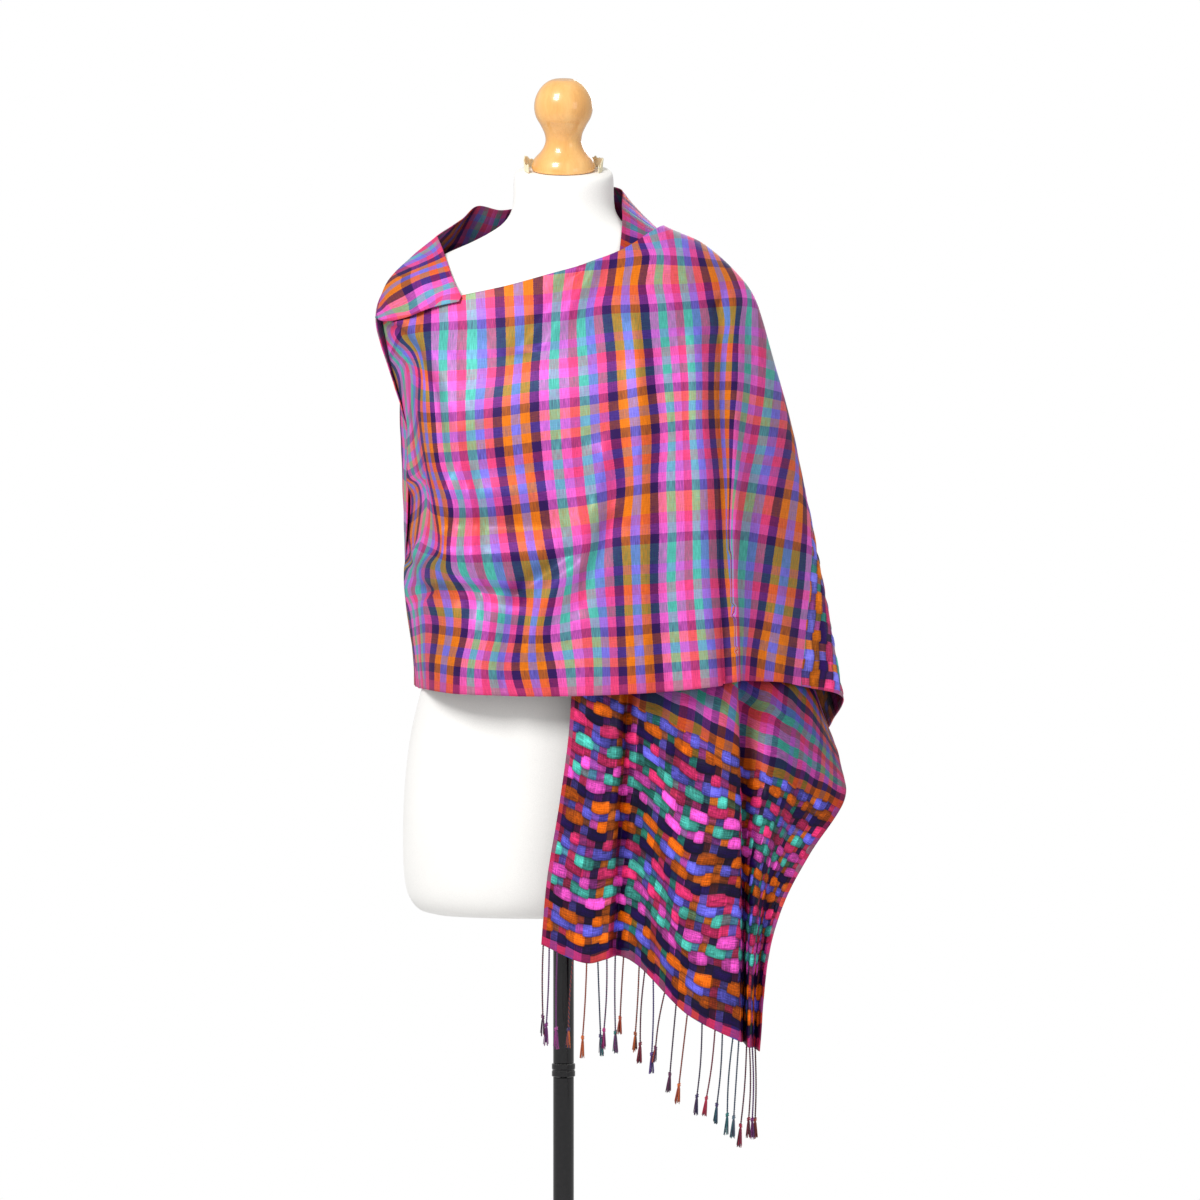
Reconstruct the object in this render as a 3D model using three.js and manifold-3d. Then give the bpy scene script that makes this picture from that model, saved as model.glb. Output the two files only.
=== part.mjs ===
// A silk wrap scarf with twisted fringe, draped round a limbless dress form on a pole stand.
// Millimetres, +Z up, the front faces -Y, the origin is on the floor under the pole.
import * as THREE from 'three';
import Module from 'manifold-3d';

const wasm = await Module();
wasm.setup();

// ---------- driving dimensions ----------
const CLOTH = 1.4;              // thickness of the cloth wall
const SEAM_GAP = 0.4;           // left between two stretches of the one cloth
const LAYER_GAP = 0.8;          // left between a layer of cloth and what it rests on
const CORD_PITCH = 15;          // between two fringe cords along the cut end
const CORD_DROP = 72;           // from the cut end down to a cord's knot
const CORD_HALF = 0.9;          // half the width of a twisted cord
const TUFT_DROP = 21;           // length of the loose tuft from the knot down
const TUFT_HALF = 1.9;          // half the width of a tuft
const HEADING = 3;              // height of the strip that the cords grow from
const FRINGE_GAP = 0.6;         // left between the cut end and that strip

const FORM_BOTTOM = 697;        // underside of the torso above the floor
const NECK_FOOT = 1442;         // where the neck starts to lean into the slope of its cap
const NECK_TOP = 1484;          // middle of the neck cap
const NECK_EDGE = 4;            // height of the rounded edge of the cap
const NECK_TILT = 0.27;         // slope of the neck cap, down towards the front
const POLE_RADIUS = 11;
const POLE_RING = { z: 524, height: 14, radius: 12.4 };
const BASE = { radius: 165, height: 10, hubRadius: 20, hubHeight: 44 };
const FACE_GAP = 0.32;          // between two rigid pieces of the form and stand
const COVER_EDGE = {
  radius: 41, from: -0.45, to: Math.PI + 0.45, steps: 26, lift: 0.5, height: 9, ruffle: 3, flare: 1.5,
};

// ---------- materials ----------
const paint = (color, roughness, metalness = 0) =>
  new THREE.MeshStandardMaterial({ color, roughness, metalness });
const SILK = paint(0xc0388c, 0.5);
const PATCHED_SILK = paint(0xb04a7a, 0.5);
const CORDS = paint(0x6a3a64, 0.7);
const JERSEY = paint(0xf3efe7, 0.9);
const WOOD = paint(0xd0883c, 0.4);
const BLACK_STEEL = paint(0x1c1b1a, 0.3, 0.8);

// ---------- small helpers ----------
const vec = (p) => new THREE.Vector3(...p);
const { lerp: mix, clamp } = THREE.MathUtils;
const count = (n, make) => Array.from({ length: n }, (_, k) => make(k));

function mesh(name, geometry, material) {
  const made = new THREE.Mesh(geometry, material);
  made.name = name;
  return made;
}

// A closed geometry from a list of Vector3 and a list of triangles.
function closed(points, faces) {
  const g = new THREE.BufferGeometry();
  g.setAttribute('position', new THREE.Float32BufferAttribute(points.flatMap((p) => p.toArray()), 3));
  g.setIndex(faces.flat());
  return g;
}

// ---------- sheets of cloth ----------
// A sheet is a grid of points. Each row of its table is one section, a smooth curve through
// the row's points, and smooth curves join the sections.
function lay({ table, steps, down }) {
  const smoothCurve = (points) => new THREE.CatmullRomCurve3(points, false, 'centripetal');
  const sections = table.map((row) => smoothCurve(Object.values(row).map(vec)).getPoints(down));
  const lines = count(down + 1, (j) => smoothCurve(sections.map((s) => s[j])));
  const across = steps * (table.length - 1);
  return count(across + 1, (i) => lines.map((line) => line.getPoint(i / across)));
}

// The outward unit normal at each point of a sheet.
function normals(sheet) {
  const last = sheet.length - 1;
  const end = sheet[0].length - 1;
  return sheet.map((line, i) => line.map((_, j) => {
    const along = sheet[Math.min(i + 1, last)][j].clone().sub(sheet[Math.max(i - 1, 0)][j]);
    const downwards = line[Math.min(j + 1, end)].clone().sub(line[Math.max(j - 1, 0)]);
    return downwards.cross(along).normalize();
  }));
}

const moved = (sheet, lifts) => {
  const out = normals(sheet);
  return sheet.map((line, i) => line.map((p, j) => p.clone().addScaledVector(out[i][j], lifts[i][j])));
};

// Presses folds into a sheet. A fold runs from one place to another, both given as shares of
// the sheet (across, down). It lifts the cloth along that line and fades over its width.
function fold(sheet, folds) {
  const lifts = sheet.map((line, i) => line.map((_, j) => {
    const s = i / (sheet.length - 1);
    const t = j / (line.length - 1);
    return folds.reduce((sum, f) => {
      const run = [f.to[0] - f.from[0], f.to[1] - f.from[1]];
      const share = ((s - f.from[0]) * run[0] + (t - f.from[1]) * run[1]) / (run[0] ** 2 + run[1] ** 2);
      const k = clamp(share, 0, 1);
      const away = Math.hypot(s - f.from[0] - k * run[0], t - f.from[1] - k * run[1]) / f.width;
      return sum + mix(f.start, f.end, k) * Math.exp(-away * away);
    }, 0);
  }));
  return moved(sheet, lifts);
}

// Points spread over the faces of a solid, no further apart than the spacing.
function spread(geometry, spacing) {
  const soup = geometry.toNonIndexed().getAttribute('position');
  const corners = count(soup.count, (k) => new THREE.Vector3().fromBufferAttribute(soup, k));
  const points = [];
  for (let k = 0; k < corners.length; k += 3) {
    const [a, b, c] = corners.slice(k, k + 3);
    const n = Math.ceil(Math.max(a.distanceTo(b), b.distanceTo(c), c.distanceTo(a)) / spacing);
    for (let i = 0; i <= n; i++) {
      for (let j = 0; i + j <= n; j++) {
        const p = a.clone().multiplyScalar(1 - (i + j) / n);
        points.push(p.addScaledVector(b, i / n).addScaledVector(c, j / n));
      }
    }
  }
  return points;
}

// Lifts a sheet off the solids under it, along its own normals, until it clears them all. The
// lift spreads to the points round about, as cloth does that lies over a bump.
const REACH = 14;               // how far round a point the solids under it are felt
const BURIED = 30;              // deeper than this is another part of the figure
const SPREAD = 7;               // between two of the points felt
const AROUND = [[-1, 0], [1, 0], [0, -1], [0, 1]];
function rest(sheet, solids) {
  const under = solids.flatMap((s) => spread(s, SPREAD));
  const out = normals(sheet);
  const need = (p, n) => {
    let lift = 0;
    for (const q of under) {
      const [x, y, z] = [q.x - p.x, q.y - p.y, q.z - p.z];
      const height = x * n.x + y * n.y + z * n.z;
      if (Math.abs(height) > BURIED) continue;
      const aside = Math.sqrt(Math.max(0, x * x + y * y + z * z - height * height));
      if (aside < REACH) lift = Math.max(lift, height + CLOTH / 2 + LAYER_GAP - aside * 0.1);
    }
    return lift;
  };
  let lifts = sheet.map((line, i) => line.map((p, j) => need(p, out[i][j])));
  for (let i = 1; i < sheet.length; i++) {
    for (let j = 1; j < sheet[i].length; j++) {
      const corners = [[i - 1, j - 1], [i, j - 1], [i, j], [i - 1, j]];
      const centre = new THREE.Vector3();
      const n = new THREE.Vector3();
      for (const [k, l] of corners) {
        centre.addScaledVector(sheet[k][l], 1 / 4);
        n.addScaledVector(out[k][l], 1 / 4);
      }
      const lift = need(centre, n.normalize());
      for (const [k, l] of corners) lifts[k][l] = Math.max(lifts[k][l], lift);
    }
  }
  for (let pass = 0; pass < 3; pass++) {
    lifts = lifts.map((line, i) => line.map((lift, j) => {
      const near = AROUND.map(([m, n]) => lifts[i + m]?.[j + n]).filter((x) => x !== undefined);
      return Math.max(lift, near.reduce((sum, x) => sum + x, 0) / near.length);
    }));
  }
  return moved(sheet, lifts);
}

// Takes the rows from one number to another out of a sheet, as a stretch of its own. At a seam
// its edge is drawn back by half the seam gap.
function stretch(sheet, from, to) {
  const rows = sheet.slice(from, to + 1);
  const drawBack = (edge, next) => edge.map((p, j) => {
    const inwards = next[j].clone().sub(p).setLength(SEAM_GAP / 2);
    return p.clone().add(inwards);
  });
  return [drawBack(rows[0], rows[1]), ...rows.slice(1, -1), drawBack(rows.at(-1), rows.at(-2))];
}

// Gives a sheet the thickness of the cloth, as one closed wall.
function wall(sheet, out = normals(sheet)) {
  const rows = sheet.length;
  const cols = sheet[0].length;
  const points = [1, -1].flatMap((side) => sheet.flatMap((line, i) =>
    line.map((p, j) => p.clone().addScaledVector(out[i][j], side * CLOTH / 2))));
  const at = (layer, i, j) => layer * rows * cols + i * cols + j;
  const faces = [];
  for (let i = 0; i + 1 < rows; i++) {
    for (let j = 0; j + 1 < cols; j++) {
      const corners = [[i, j], [i + 1, j], [i + 1, j + 1], [i, j + 1]];
      const [a, b, c, d] = corners.map(([m, n]) => at(0, m, n));
      const [e, f, g, h] = corners.map(([m, n]) => at(1, m, n));
      faces.push([a, c, b], [a, d, c], [e, f, g], [e, g, h]);
    }
  }
  const rim = [
    ...count(rows - 1, (i) => [i, 0]),
    ...count(cols - 1, (j) => [rows - 1, j]),
    ...count(rows - 1, (i) => [rows - 1 - i, cols - 1]),
    ...count(cols - 1, (j) => [0, cols - 1 - j]),
  ];
  rim.forEach(([i, j], k) => {
    const [m, n] = rim[(k + 1) % rim.length];
    faces.push([at(0, i, j), at(0, m, n), at(1, m, n)], [at(0, i, j), at(1, m, n), at(1, i, j)]);
  });
  return closed(points, faces);
}

// ---------- the dress form ----------
// Sections of the torso by height: half width, reach to the front, reach to the back.
const TORSO = [
  { z: FORM_BOTTOM, half: 136, front: 82, back: 92 },
  { z: 703, half: 154, front: 98, back: 108 },
  { z: 722, half: 166, front: 108, back: 119 },
  { z: 790, half: 170, front: 112, back: 124 },
  { z: 880, half: 163, front: 108, back: 118 },
  { z: 960, half: 144, front: 98, back: 102 },
  { z: 1030, half: 127, front: 92, back: 88 },
  { z: 1088, half: 121, front: 91, back: 84 },
  { z: 1150, half: 130, front: 102, back: 88 },
  { z: 1200, half: 143, front: 118, back: 92 },
  { z: 1245, half: 151, front: 125, back: 97 },
  { z: 1290, half: 158, front: 110, back: 99 },
  { z: 1330, half: 168, front: 92, back: 94 },
  { z: 1352, half: 170, front: 80, back: 86 },
  { z: 1370, half: 161, front: 70, back: 77 },
  { z: 1384, half: 146, front: 63, back: 70 },
  { z: 1397, half: 122, front: 57, back: 63 },
  { z: 1408, half: 97, front: 54, back: 59 },
  { z: 1418, half: 78, front: 52, back: 56 },
  { z: 1428, half: 64, front: 50, back: 53 },
  { z: NECK_FOOT, half: 55, front: 49, back: 50 },
  { z: NECK_TOP - NECK_EDGE, half: 52, front: 50, back: 48 },
  { z: NECK_TOP, half: 48, front: 46, back: 44 },
];
const TORSO_SIDES = 36;
const TORSO_SQUARE = 2.25;      // 2 is an ellipse, more is squarer

// One ring of the torso. Above the shoulders it leans into the slope of the neck cap.
function ring(section) {
  const tilt = NECK_TILT * clamp((section.z - NECK_FOOT) / (NECK_TOP - NECK_EDGE - NECK_FOOT), 0, 1);
  const bow = (x) => Math.sign(x) * Math.abs(x) ** (2 / TORSO_SQUARE);
  return count(TORSO_SIDES, (k) => {
    const a = (k / TORSO_SIDES) * 2 * Math.PI;
    const y = bow(Math.sin(a)) * (Math.sin(a) < 0 ? section.front : section.back);
    return new THREE.Vector3(section.half * bow(Math.cos(a)), y, section.z + tilt * y);
  });
}

function torso() {
  const points = TORSO.flatMap(ring);
  const bottom = points.push(new THREE.Vector3(0, 0, FORM_BOTTOM)) - 1;
  const top = points.push(new THREE.Vector3(0, 0, NECK_TOP)) - 1;
  const n = TORSO_SIDES;
  const crown = (TORSO.length - 1) * n;
  const faces = [];
  for (let k = 0; k < n; k++) {
    const next = (k + 1) % n;
    faces.push([bottom, next, k], [crown + k, crown + next, top]);
    for (let low = 0; low < crown; low += n) {
      const high = low + n;
      faces.push([low + k, low + next, high + next], [low + k, high + next, high + k]);
    }
  }
  return closed(points, faces);
}

// A turned piece from a profile of [radius, height] pairs, standing on z.
function turned(profile, z, sides) {
  const g = new THREE.LatheGeometry(profile.map(([r, h]) => new THREE.Vector2(r, h)), sides);
  return g.rotateX(Math.PI / 2).translate(0, 0, z);
}

function knob() {
  const profile = [[0, 0], [31, 0], [34, 3], [33.6, 6], [30.5, 13], [25, 19], [21, 25], [19.1, 32], [20, 39],
    [24, 48], [29, 57], [31, 66], [30, 76], [26, 85], [20, 92], [12.5, 96.5], [0, 97]];
  return turned(profile, 0, 24).rotateX(Math.atan(NECK_TILT)).translate(0, 0, NECK_TOP + FACE_GAP);
}

// The raw edge of the jersey cover, which stands up in small ruffles behind the knob.
function coverEdge() {
  const { radius, from, to, steps, lift, height, ruffle, flare } = COVER_EDGE;
  return wall(count(steps + 1, (k) => {
    const a = mix(to, from, k / steps);
    const rise = height + ruffle * Math.sin(5 * a) + ruffle * 0.6 * Math.sin(11 * a + 1);
    return [1, 0].map((up) => {
      const r = radius + up * flare * Math.sin(7 * a);
      const [x, y] = [r * Math.cos(a), r * Math.sin(a)];
      return new THREE.Vector3(x, y, NECK_TOP + NECK_TILT * y + lift + up * rise);
    });
  }));
}

function basePlate() {
  const { radius, height, hubRadius, hubHeight } = BASE;
  const profile = [[0, 0], [radius - 2, 0], [radius, 2], [radius, height - 3], [radius - 4, height],
    [hubRadius + 6, height], [hubRadius, height + 5], [hubRadius, hubHeight - 2], [hubRadius - 2, hubHeight],
    [0, hubHeight]];
  return turned(profile, 0, 48);
}

function pole(from, to) {
  return turned([[0, 0], [POLE_RADIUS, 0], [POLE_RADIUS, to - from], [0, to - from]], from, 20);
}

function poleRing() {
  const { z, height, radius } = POLE_RING;
  const side = [[radius - 1, 0], [radius, 1], [radius, height - 1], [radius - 1, height]];
  return turned([[0, 0], ...side, [0, height]], z, 24);
}

// ---------- the drape ----------
// Every section is a weft line of the cloth, from one selvedge to the other.

// The end that hangs at the front, from the fringe up to the top of the shoulder.
const HANGING = [
  { inner: [-23, -138, 675], centre: [24, -143, 656], pleat: [62, -137, 662], slope: [128, -146, 603],
    ridge: [180, -152, 577], under: [184, -98, 574], front: [190, -146, 570], back: [195, -96, 568],
    outer: [201, -138, 565] },
  { inner: [-17, -138, 742], centre: [27, -142, 722], pleat: [66, -136, 725], slope: [128, -144, 670],
    ridge: [178, -150, 660], under: [182, -98, 658], front: [192, -144, 655], back: [201, -98, 656],
    outer: [210, -132, 657] },
  { inner: [-5, -137, 815], centre: [32, -140, 796], pleat: [70, -135, 795], slope: [128, -142, 745],
    ridge: [179, -147, 740], under: [181, -97, 735], front: [198, -138, 728], back: [212, -98, 721],
    outer: [228, -116, 716] },
  { inner: [5, -136, 888], centre: [37, -138, 870], pleat: [75, -134, 862], slope: [129, -139, 825],
    ridge: [179, -143, 810], under: [178, -95, 803], front: [207, -128, 795], back: [231, -98, 778],
    outer: [256, -90, 765] },
  { inner: [10, -134, 962], centre: [42, -136, 945], pleat: [80, -133, 930], slope: [130, -136, 908],
    ridge: [179, -140, 880], under: [175, -92, 872], front: [216, -116, 860], back: [256, -84, 840],
    outer: [294, -56, 820] },
  { inner: [16, -133, 1022], centre: [50, -134, 1010], pleat: [88, -131, 1000], slope: [134, -126, 985],
    ridge: [178, -118, 960], under: [178, -78, 945], front: [215, -80, 925], back: [262, -48, 890],
    outer: [294, -12, 852] },
  { inner: [26, -134, 1102], centre: [60, -134, 1096], pleat: [96, -128, 1090], slope: [140, -108, 1080],
    ridge: [180, -90, 1062], under: [184, -60, 1045], front: [215, -50, 1015], back: [258, -10, 950],
    outer: [284, 30, 890] },
  { inner: [36, -134, 1195], centre: [68, -130, 1190], pleat: [102, -118, 1185], slope: [146, -84, 1175],
    ridge: [184, -56, 1150], under: [194, -36, 1120], front: [216, -16, 1080], back: [248, 30, 1000],
    outer: [264, 66, 935] },
  { inner: [46, -118, 1285], centre: [76, -108, 1285], pleat: [108, -90, 1280], slope: [150, -56, 1262],
    ridge: [184, -26, 1238], under: [198, -6, 1190], front: [212, 16, 1130], back: [234, 60, 1045],
    outer: [246, 88, 975] },
  { inner: [56, -72, 1374], centre: [84, -61, 1360], pleat: [116, -46, 1348], slope: [154, -26, 1328],
    ridge: [182, -8, 1300], under: [198, 12, 1240], front: [208, 36, 1170], back: [222, 74, 1080],
    outer: [232, 100, 1005] },
];

// Across the back, from that shoulder to the other one. Its top stands up behind the neck.
const BACK = [
  { inner: [62, -4, 1446], centre: [87, -2, 1428], pleat: [118, 0, 1406], slope: [156, 4, 1381],
    ridge: [180, 10, 1350], under: [198, 32, 1280], front: [204, 56, 1200], back: [212, 88, 1110],
    outer: [218, 110, 1030] },
  { top: [61, 36, 1468], collar: [92, 50, 1426], shoulder: [142, 60, 1370], blade: [178, 80, 1270],
    waist: [188, 108, 1150], hem: [196, 130, 1012] },
  { top: [38, 60, 1473], collar: [54, 74, 1420], shoulder: [84, 96, 1350], blade: [114, 120, 1240],
    waist: [126, 136, 1120], hem: [130, 145, 990] },
  { top: [0, 67, 1468], collar: [4, 84, 1410], shoulder: [12, 106, 1330], blade: [22, 128, 1220],
    waist: [30, 142, 1100], hem: [38, 150, 972] },
  { top: [-38, 62, 1454], collar: [-44, 80, 1398], shoulder: [-52, 104, 1320], blade: [-54, 126, 1210],
    waist: [-52, 140, 1090], hem: [-50, 148, 956] },
  { top: [-66, 54, 1447], collar: [-84, 68, 1402], shoulder: [-104, 86, 1330], blade: [-116, 106, 1220],
    waist: [-118, 118, 1090], hem: [-118, 126, 944] },
  { top: [-92, 47, 1451], collar: [-112, 48, 1414], shoulder: [-150, 56, 1350], blade: [-164, 66, 1230],
    waist: [-160, 72, 1090], hem: [-156, 68, 938] },
  { top: [-107, 30, 1435], collar: [-124, 28, 1412], shoulder: [-174, 26, 1358], blade: [-174, 34, 1240],
    waist: [-168, 40, 1090], hem: [-158, 36, 937] },
  { top: [-134, 6, 1415], collar: [-166, 4, 1388], shoulder: [-198, 0, 1334], blade: [-165, -6, 1205],
    waist: [-167, -6, 1060], hem: [-152, -6, 936] },
];

// The flap over the other shoulder, from its selvedge to the tuck above the chest.
const FLAP = [
  { selvedge: [-134, 5, 1415], crest: [-160, 3, 1394], brow: [-187, 0, 1366], tuck: [-199, -4, 1328] },
  { selvedge: [-128, -20, 1401], crest: [-154, -21, 1384], brow: [-179, -23, 1358], tuck: [-190, -25, 1323] },
  { selvedge: [-122, -43, 1384], crest: [-140, -45, 1372], brow: [-159, -47, 1352], tuck: [-168, -49, 1324] },
  { selvedge: [-115, -63, 1364], crest: [-124, -66, 1357], brow: [-133, -68, 1347], tuck: [-138, -70, 1334] },
  { selvedge: [-106, -81, 1345], crest: [-107, -82, 1344], brow: [-108, -83, 1342], tuck: [-109, -84, 1340] },
];

// The wide panel, from the side under the flap, across the chest, to the far side of the figure.
const CHEST = [
  { top: [-192, -6, 1336], yoke: [-190, -6, 1316], breast: [-184, -6, 1285], bust: [-165, -6, 1210],
    ribs: [-162, -6, 1130], waist: [-167, -6, 1040], hem: [-152, -6, 936] },
  { top: [-170, -38, 1332], yoke: [-168, -44, 1312], breast: [-163, -54, 1285], bust: [-146, -78, 1218],
    ribs: [-138, -86, 1130], waist: [-140, -88, 1040], hem: [-138, -80, 935] },
  { top: [-138, -60, 1342], yoke: [-137, -70, 1318], breast: [-135, -84, 1288], bust: [-127, -106, 1228],
    ribs: [-120, -113, 1130], waist: [-117, -116, 1040], hem: [-112, -116, 932] },
  { top: [-106, -76, 1346], yoke: [-105, -88, 1320], breast: [-102, -106, 1288], bust: [-98, -124, 1236],
    ribs: [-92, -131, 1130], waist: [-87, -134, 1040], hem: [-80, -134, 931] },
  { top: [-62, -82, 1355], yoke: [-61, -94, 1328], breast: [-60, -112, 1292], bust: [-58, -131, 1240],
    ribs: [-54, -137, 1130], waist: [-50, -139, 1040], hem: [-46, -140, 930] },
  { top: [-16, -79, 1368], yoke: [-16, -94, 1336], breast: [-15, -116, 1294], bust: [-14, -135, 1244],
    ribs: [-12, -140, 1130], waist: [-10, -142, 1040], hem: [-8, -143, 930] },
  { top: [28, -71, 1381], yoke: [30, -90, 1346], breast: [31, -118, 1298], bust: [32, -139, 1246],
    ribs: [32, -144, 1130], waist: [32, -146, 1040], hem: [34, -147, 931] },
  { top: [62, -60, 1396], yoke: [66, -84, 1358], breast: [70, -116, 1304], bust: [72, -139, 1244],
    ribs: [73, -147, 1130], waist: [74, -149, 1040], hem: [76, -150, 933] },
  { top: [90, -36, 1415], yoke: [102, -66, 1376], breast: [110, -104, 1308], bust: [113, -132, 1240],
    ribs: [114, -146, 1130], waist: [115, -150, 1040], hem: [117, -152, 936] },
  { top: [104, -10, 1424], yoke: [144, -36, 1390], breast: [156, -78, 1318], bust: [158, -110, 1240],
    ribs: [158, -132, 1130], waist: [159, -141, 1040], hem: [161, -147, 941] },
  { top: [108, 8, 1424], yoke: [152, -8, 1402], breast: [187, -32, 1344], bust: [185, -72, 1240],
    ribs: [182, -97, 1130], waist: [181, -114, 1040], hem: [179, -128, 946] },
  { top: [113, 22, 1420], yoke: [164, 8, 1394], breast: [202, -14, 1344], bust: [214, -38, 1240],
    ribs: [217, -56, 1130], waist: [217, -70, 1040], hem: [215, -82, 944] },
  { top: [122, 42, 1408], yoke: [168, 32, 1380], breast: [206, 12, 1334], bust: [232, -6, 1235],
    ribs: [246, -20, 1130], waist: [253, -30, 1035], hem: [257, -42, 937] },
];

// The end thrown over the shoulder, from there down across the back to its fringe.
const THROWN = [
  { top: [144, 74, 1372], yoke: [178, 58, 1340], breast: [208, 42, 1295], bust: [243, 24, 1205],
    ribs: [263, 12, 1110], waist: [279, 4, 1025], hem: [295, -6, 926] },
  { top: [104, 108, 1326], yoke: [140, 110, 1290], breast: [176, 104, 1240], bust: [216, 92, 1155],
    ribs: [246, 82, 1065], waist: [268, 72, 985], hem: [280, 58, 893] },
  { top: [52, 132, 1278], yoke: [88, 140, 1240], breast: [122, 144, 1188], bust: [166, 142, 1105],
    ribs: [202, 136, 1020], waist: [228, 126, 940], hem: [240, 108, 862] },
  { top: [2, 146, 1230], yoke: [36, 156, 1190], breast: [68, 162, 1136], bust: [106, 166, 1052],
    ribs: [142, 166, 968], waist: [166, 160, 892], hem: [178, 150, 830] },
];

// The cloth is laid in three sheets, each over the ones before it. The folds are places on
// the sheet: shares of it across and down.
const LOWER_STEPS = 2;
const UPPER_STEPS = 3;
const LOWER = { table: [...HANGING, ...BACK], steps: LOWER_STEPS, down: 24 };
const UPPER = { table: [...CHEST, ...THROWN], steps: UPPER_STEPS, down: 18 };
const OVER_SHOULDER = { table: FLAP, steps: 2, down: 6 };
const LOWER_FOLDS = [
  { from: [0.728, 0.42], to: [0.718, 1], start: 0, end: 9, width: 0.016 },
  { from: [0.76, 0.5], to: [0.76, 1], start: 0, end: -5, width: 0.014 },
  { from: [0.792, 0.38], to: [0.802, 1], start: 0, end: 8, width: 0.016 },
  { from: [0.844, 0.5], to: [0.844, 1], start: 0, end: -5, width: 0.014 },
  { from: [0.866, 0.32], to: [0.887, 1], start: 0, end: 7, width: 0.016 },
];
const UPPER_FOLDS = [
  { from: [0.053, 0.14], to: [0.128, 0.6], start: -2, end: -6, width: 0.02 },
  { from: [0.064, 0.1], to: [0.17, 0.55], start: 4, end: 3, width: 0.02 },
  { from: [0.175, 0.64], to: [0.181, 0.86], start: -6, end: -5, width: 0.022 },
  { from: [0.133, 0.5], to: [0.138, 0.95], start: 5, end: 4, width: 0.022 },
  { from: [0.181, 0.83], to: [0.266, 0.84], start: 4, end: 2, width: 0.02 },
  { from: [0.383, 0.69], to: [0.266, 0.93], start: 5, end: 3, width: 0.022 },
  { from: [0.383, 0.03], to: [0.329, 0.33], start: 4, end: 2, width: 0.02 },
  { from: [0.398, 0.71], to: [0.351, 0.84], start: -4, end: -3, width: 0.018 },
  { from: [0.446, 0.3], to: [0.446, 1], start: 3, end: 5, width: 0.016 },
  { from: [0.531, 0.35], to: [0.542, 1], start: 5, end: 5, width: 0.016 },
  { from: [0.579, 0.3], to: [0.584, 1], start: -5, end: -5, width: 0.016 },
  { from: [0.625, 0.2], to: [0.625, 1], start: 4, end: 6, width: 0.016 },
  { from: [0.701, 0.3], to: [0.723, 1], start: -4, end: -8, width: 0.022 },
  { from: [0.871, 0.1], to: [0.882, 1], start: 2, end: 7, width: 0.018 },
  { from: [0.935, 0.05], to: [0.94, 1], start: -4, end: -7, width: 0.018 },
  { from: [0.988, 0.05], to: [0.999, 1], start: 5, end: 8, width: 0.02 },
];

// ---------- the fringe ----------
const asManifold = (g) => new wasm.Manifold(new wasm.Mesh({
  numProp: 3,
  vertProperties: new Float32Array(g.getAttribute('position').array),
  triVerts: new Uint32Array(g.index.array),
}));

function fromManifold(body) {
  const { numProp, vertProperties, triVerts } = body.getMesh();
  const g = new THREE.BufferGeometry();
  const place = (k) => [...vertProperties.slice(k * numProp, k * numProp + 3)];
  const places = count(vertProperties.length / numProp, place);
  g.setAttribute('position', new THREE.Float32BufferAttribute(places.flat(), 3));
  g.setIndex([...triVerts]);
  return g;
}

// One twisted cord with its tuft, hanging from the heading. It drifts sideways as it falls.
function strand(root, drift) {
  const profile = [
    { drop: -HEADING / 2, half: CORD_HALF },
    { drop: CORD_DROP, half: CORD_HALF },
    { drop: CORD_DROP + TUFT_DROP * 0.3, half: TUFT_HALF },
    { drop: CORD_DROP + TUFT_DROP, half: TUFT_HALF },
  ];
  const corners = [[-1, -0.6], [1, -0.6], [0, 1.2]];
  const points = profile.flatMap(({ drop, half }) => {
    const middle = new THREE.Vector3(root.x + drift * drop, root.y, root.z - drop);
    return corners.map(([x, y]) => middle.clone().add(vec([x * half, y * half, 0])));
  });
  const last = points.length - 3;
  const faces = [[0, 1, 2], [last, last + 2, last + 1]];
  for (let k = 0; k < last; k += 3) {
    for (let c = 0; c < 3; c++) {
      const [a, b] = [k + c, k + ((c + 1) % 3)];
      faces.push([a, a + 3, b + 3], [a, b + 3, b]);
    }
  }
  return closed(points, faces);
}

// A fringe along the first row of a sheet: a narrow heading that goes on from the cut edge,
// and the cords fused to it.
function fringe([edge, next], drift) {
  const beyond = edge.map((p, k) => p.clone().sub(next[k]).normalize());
  const heading = edge.map((p, k) =>
    [FRINGE_GAP, FRINGE_GAP + HEADING].map((reach) => p.clone().addScaledVector(beyond[k], reach)));
  const roots = new THREE.CurvePath();
  heading.slice(1).forEach(([, p], k) => roots.add(new THREE.LineCurve3(heading[k][1], p)));
  const cords = Math.floor(roots.getLength() / CORD_PITCH);
  const strands = count(cords, (k) => {
    const share = (k + 0.5) / cords;
    return asManifold(strand(roots.getPoint(share), mix(drift.start, drift.end, share)));
  });
  return fromManifold(wasm.Manifold.union([asManifold(wall(heading)), ...strands]));
}

const torsoSolid = torso();
const lower = rest(fold(lay(LOWER), LOWER_FOLDS), [torsoSolid]);
const lowerNormals = normals(lower);
const shoulderRow = LOWER_STEPS * HANGING.length;
const lowerEnd = lower.length - 1;
const hanging = stretch(lower, 0, shoulderRow);
const back = stretch(lower, shoulderRow, lowerEnd);
const hangingEnd = wall(hanging, lowerNormals.slice(0, shoulderRow + 1));
const backPanel = wall(back, lowerNormals.slice(shoulderRow));

const upper = rest(fold(lay(UPPER), UPPER_FOLDS), [torsoSolid, hangingEnd, backPanel]);
const upperNormals = normals(upper);
const farRow = UPPER_STEPS * CHEST.length;
const chest = stretch(upper, 0, farRow);
const thrown = stretch(upper, farRow, upper.length - 1);
const chestPanel = wall(chest, upperNormals.slice(0, farRow + 1));
const thrownEnd = wall(thrown, upperNormals.slice(farRow));

const flap = rest(lay(OVER_SHOULDER), [torsoSolid, chestPanel]);
const shoulderFlap = wall(stretch(flap, 0, flap.length - 1));

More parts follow.
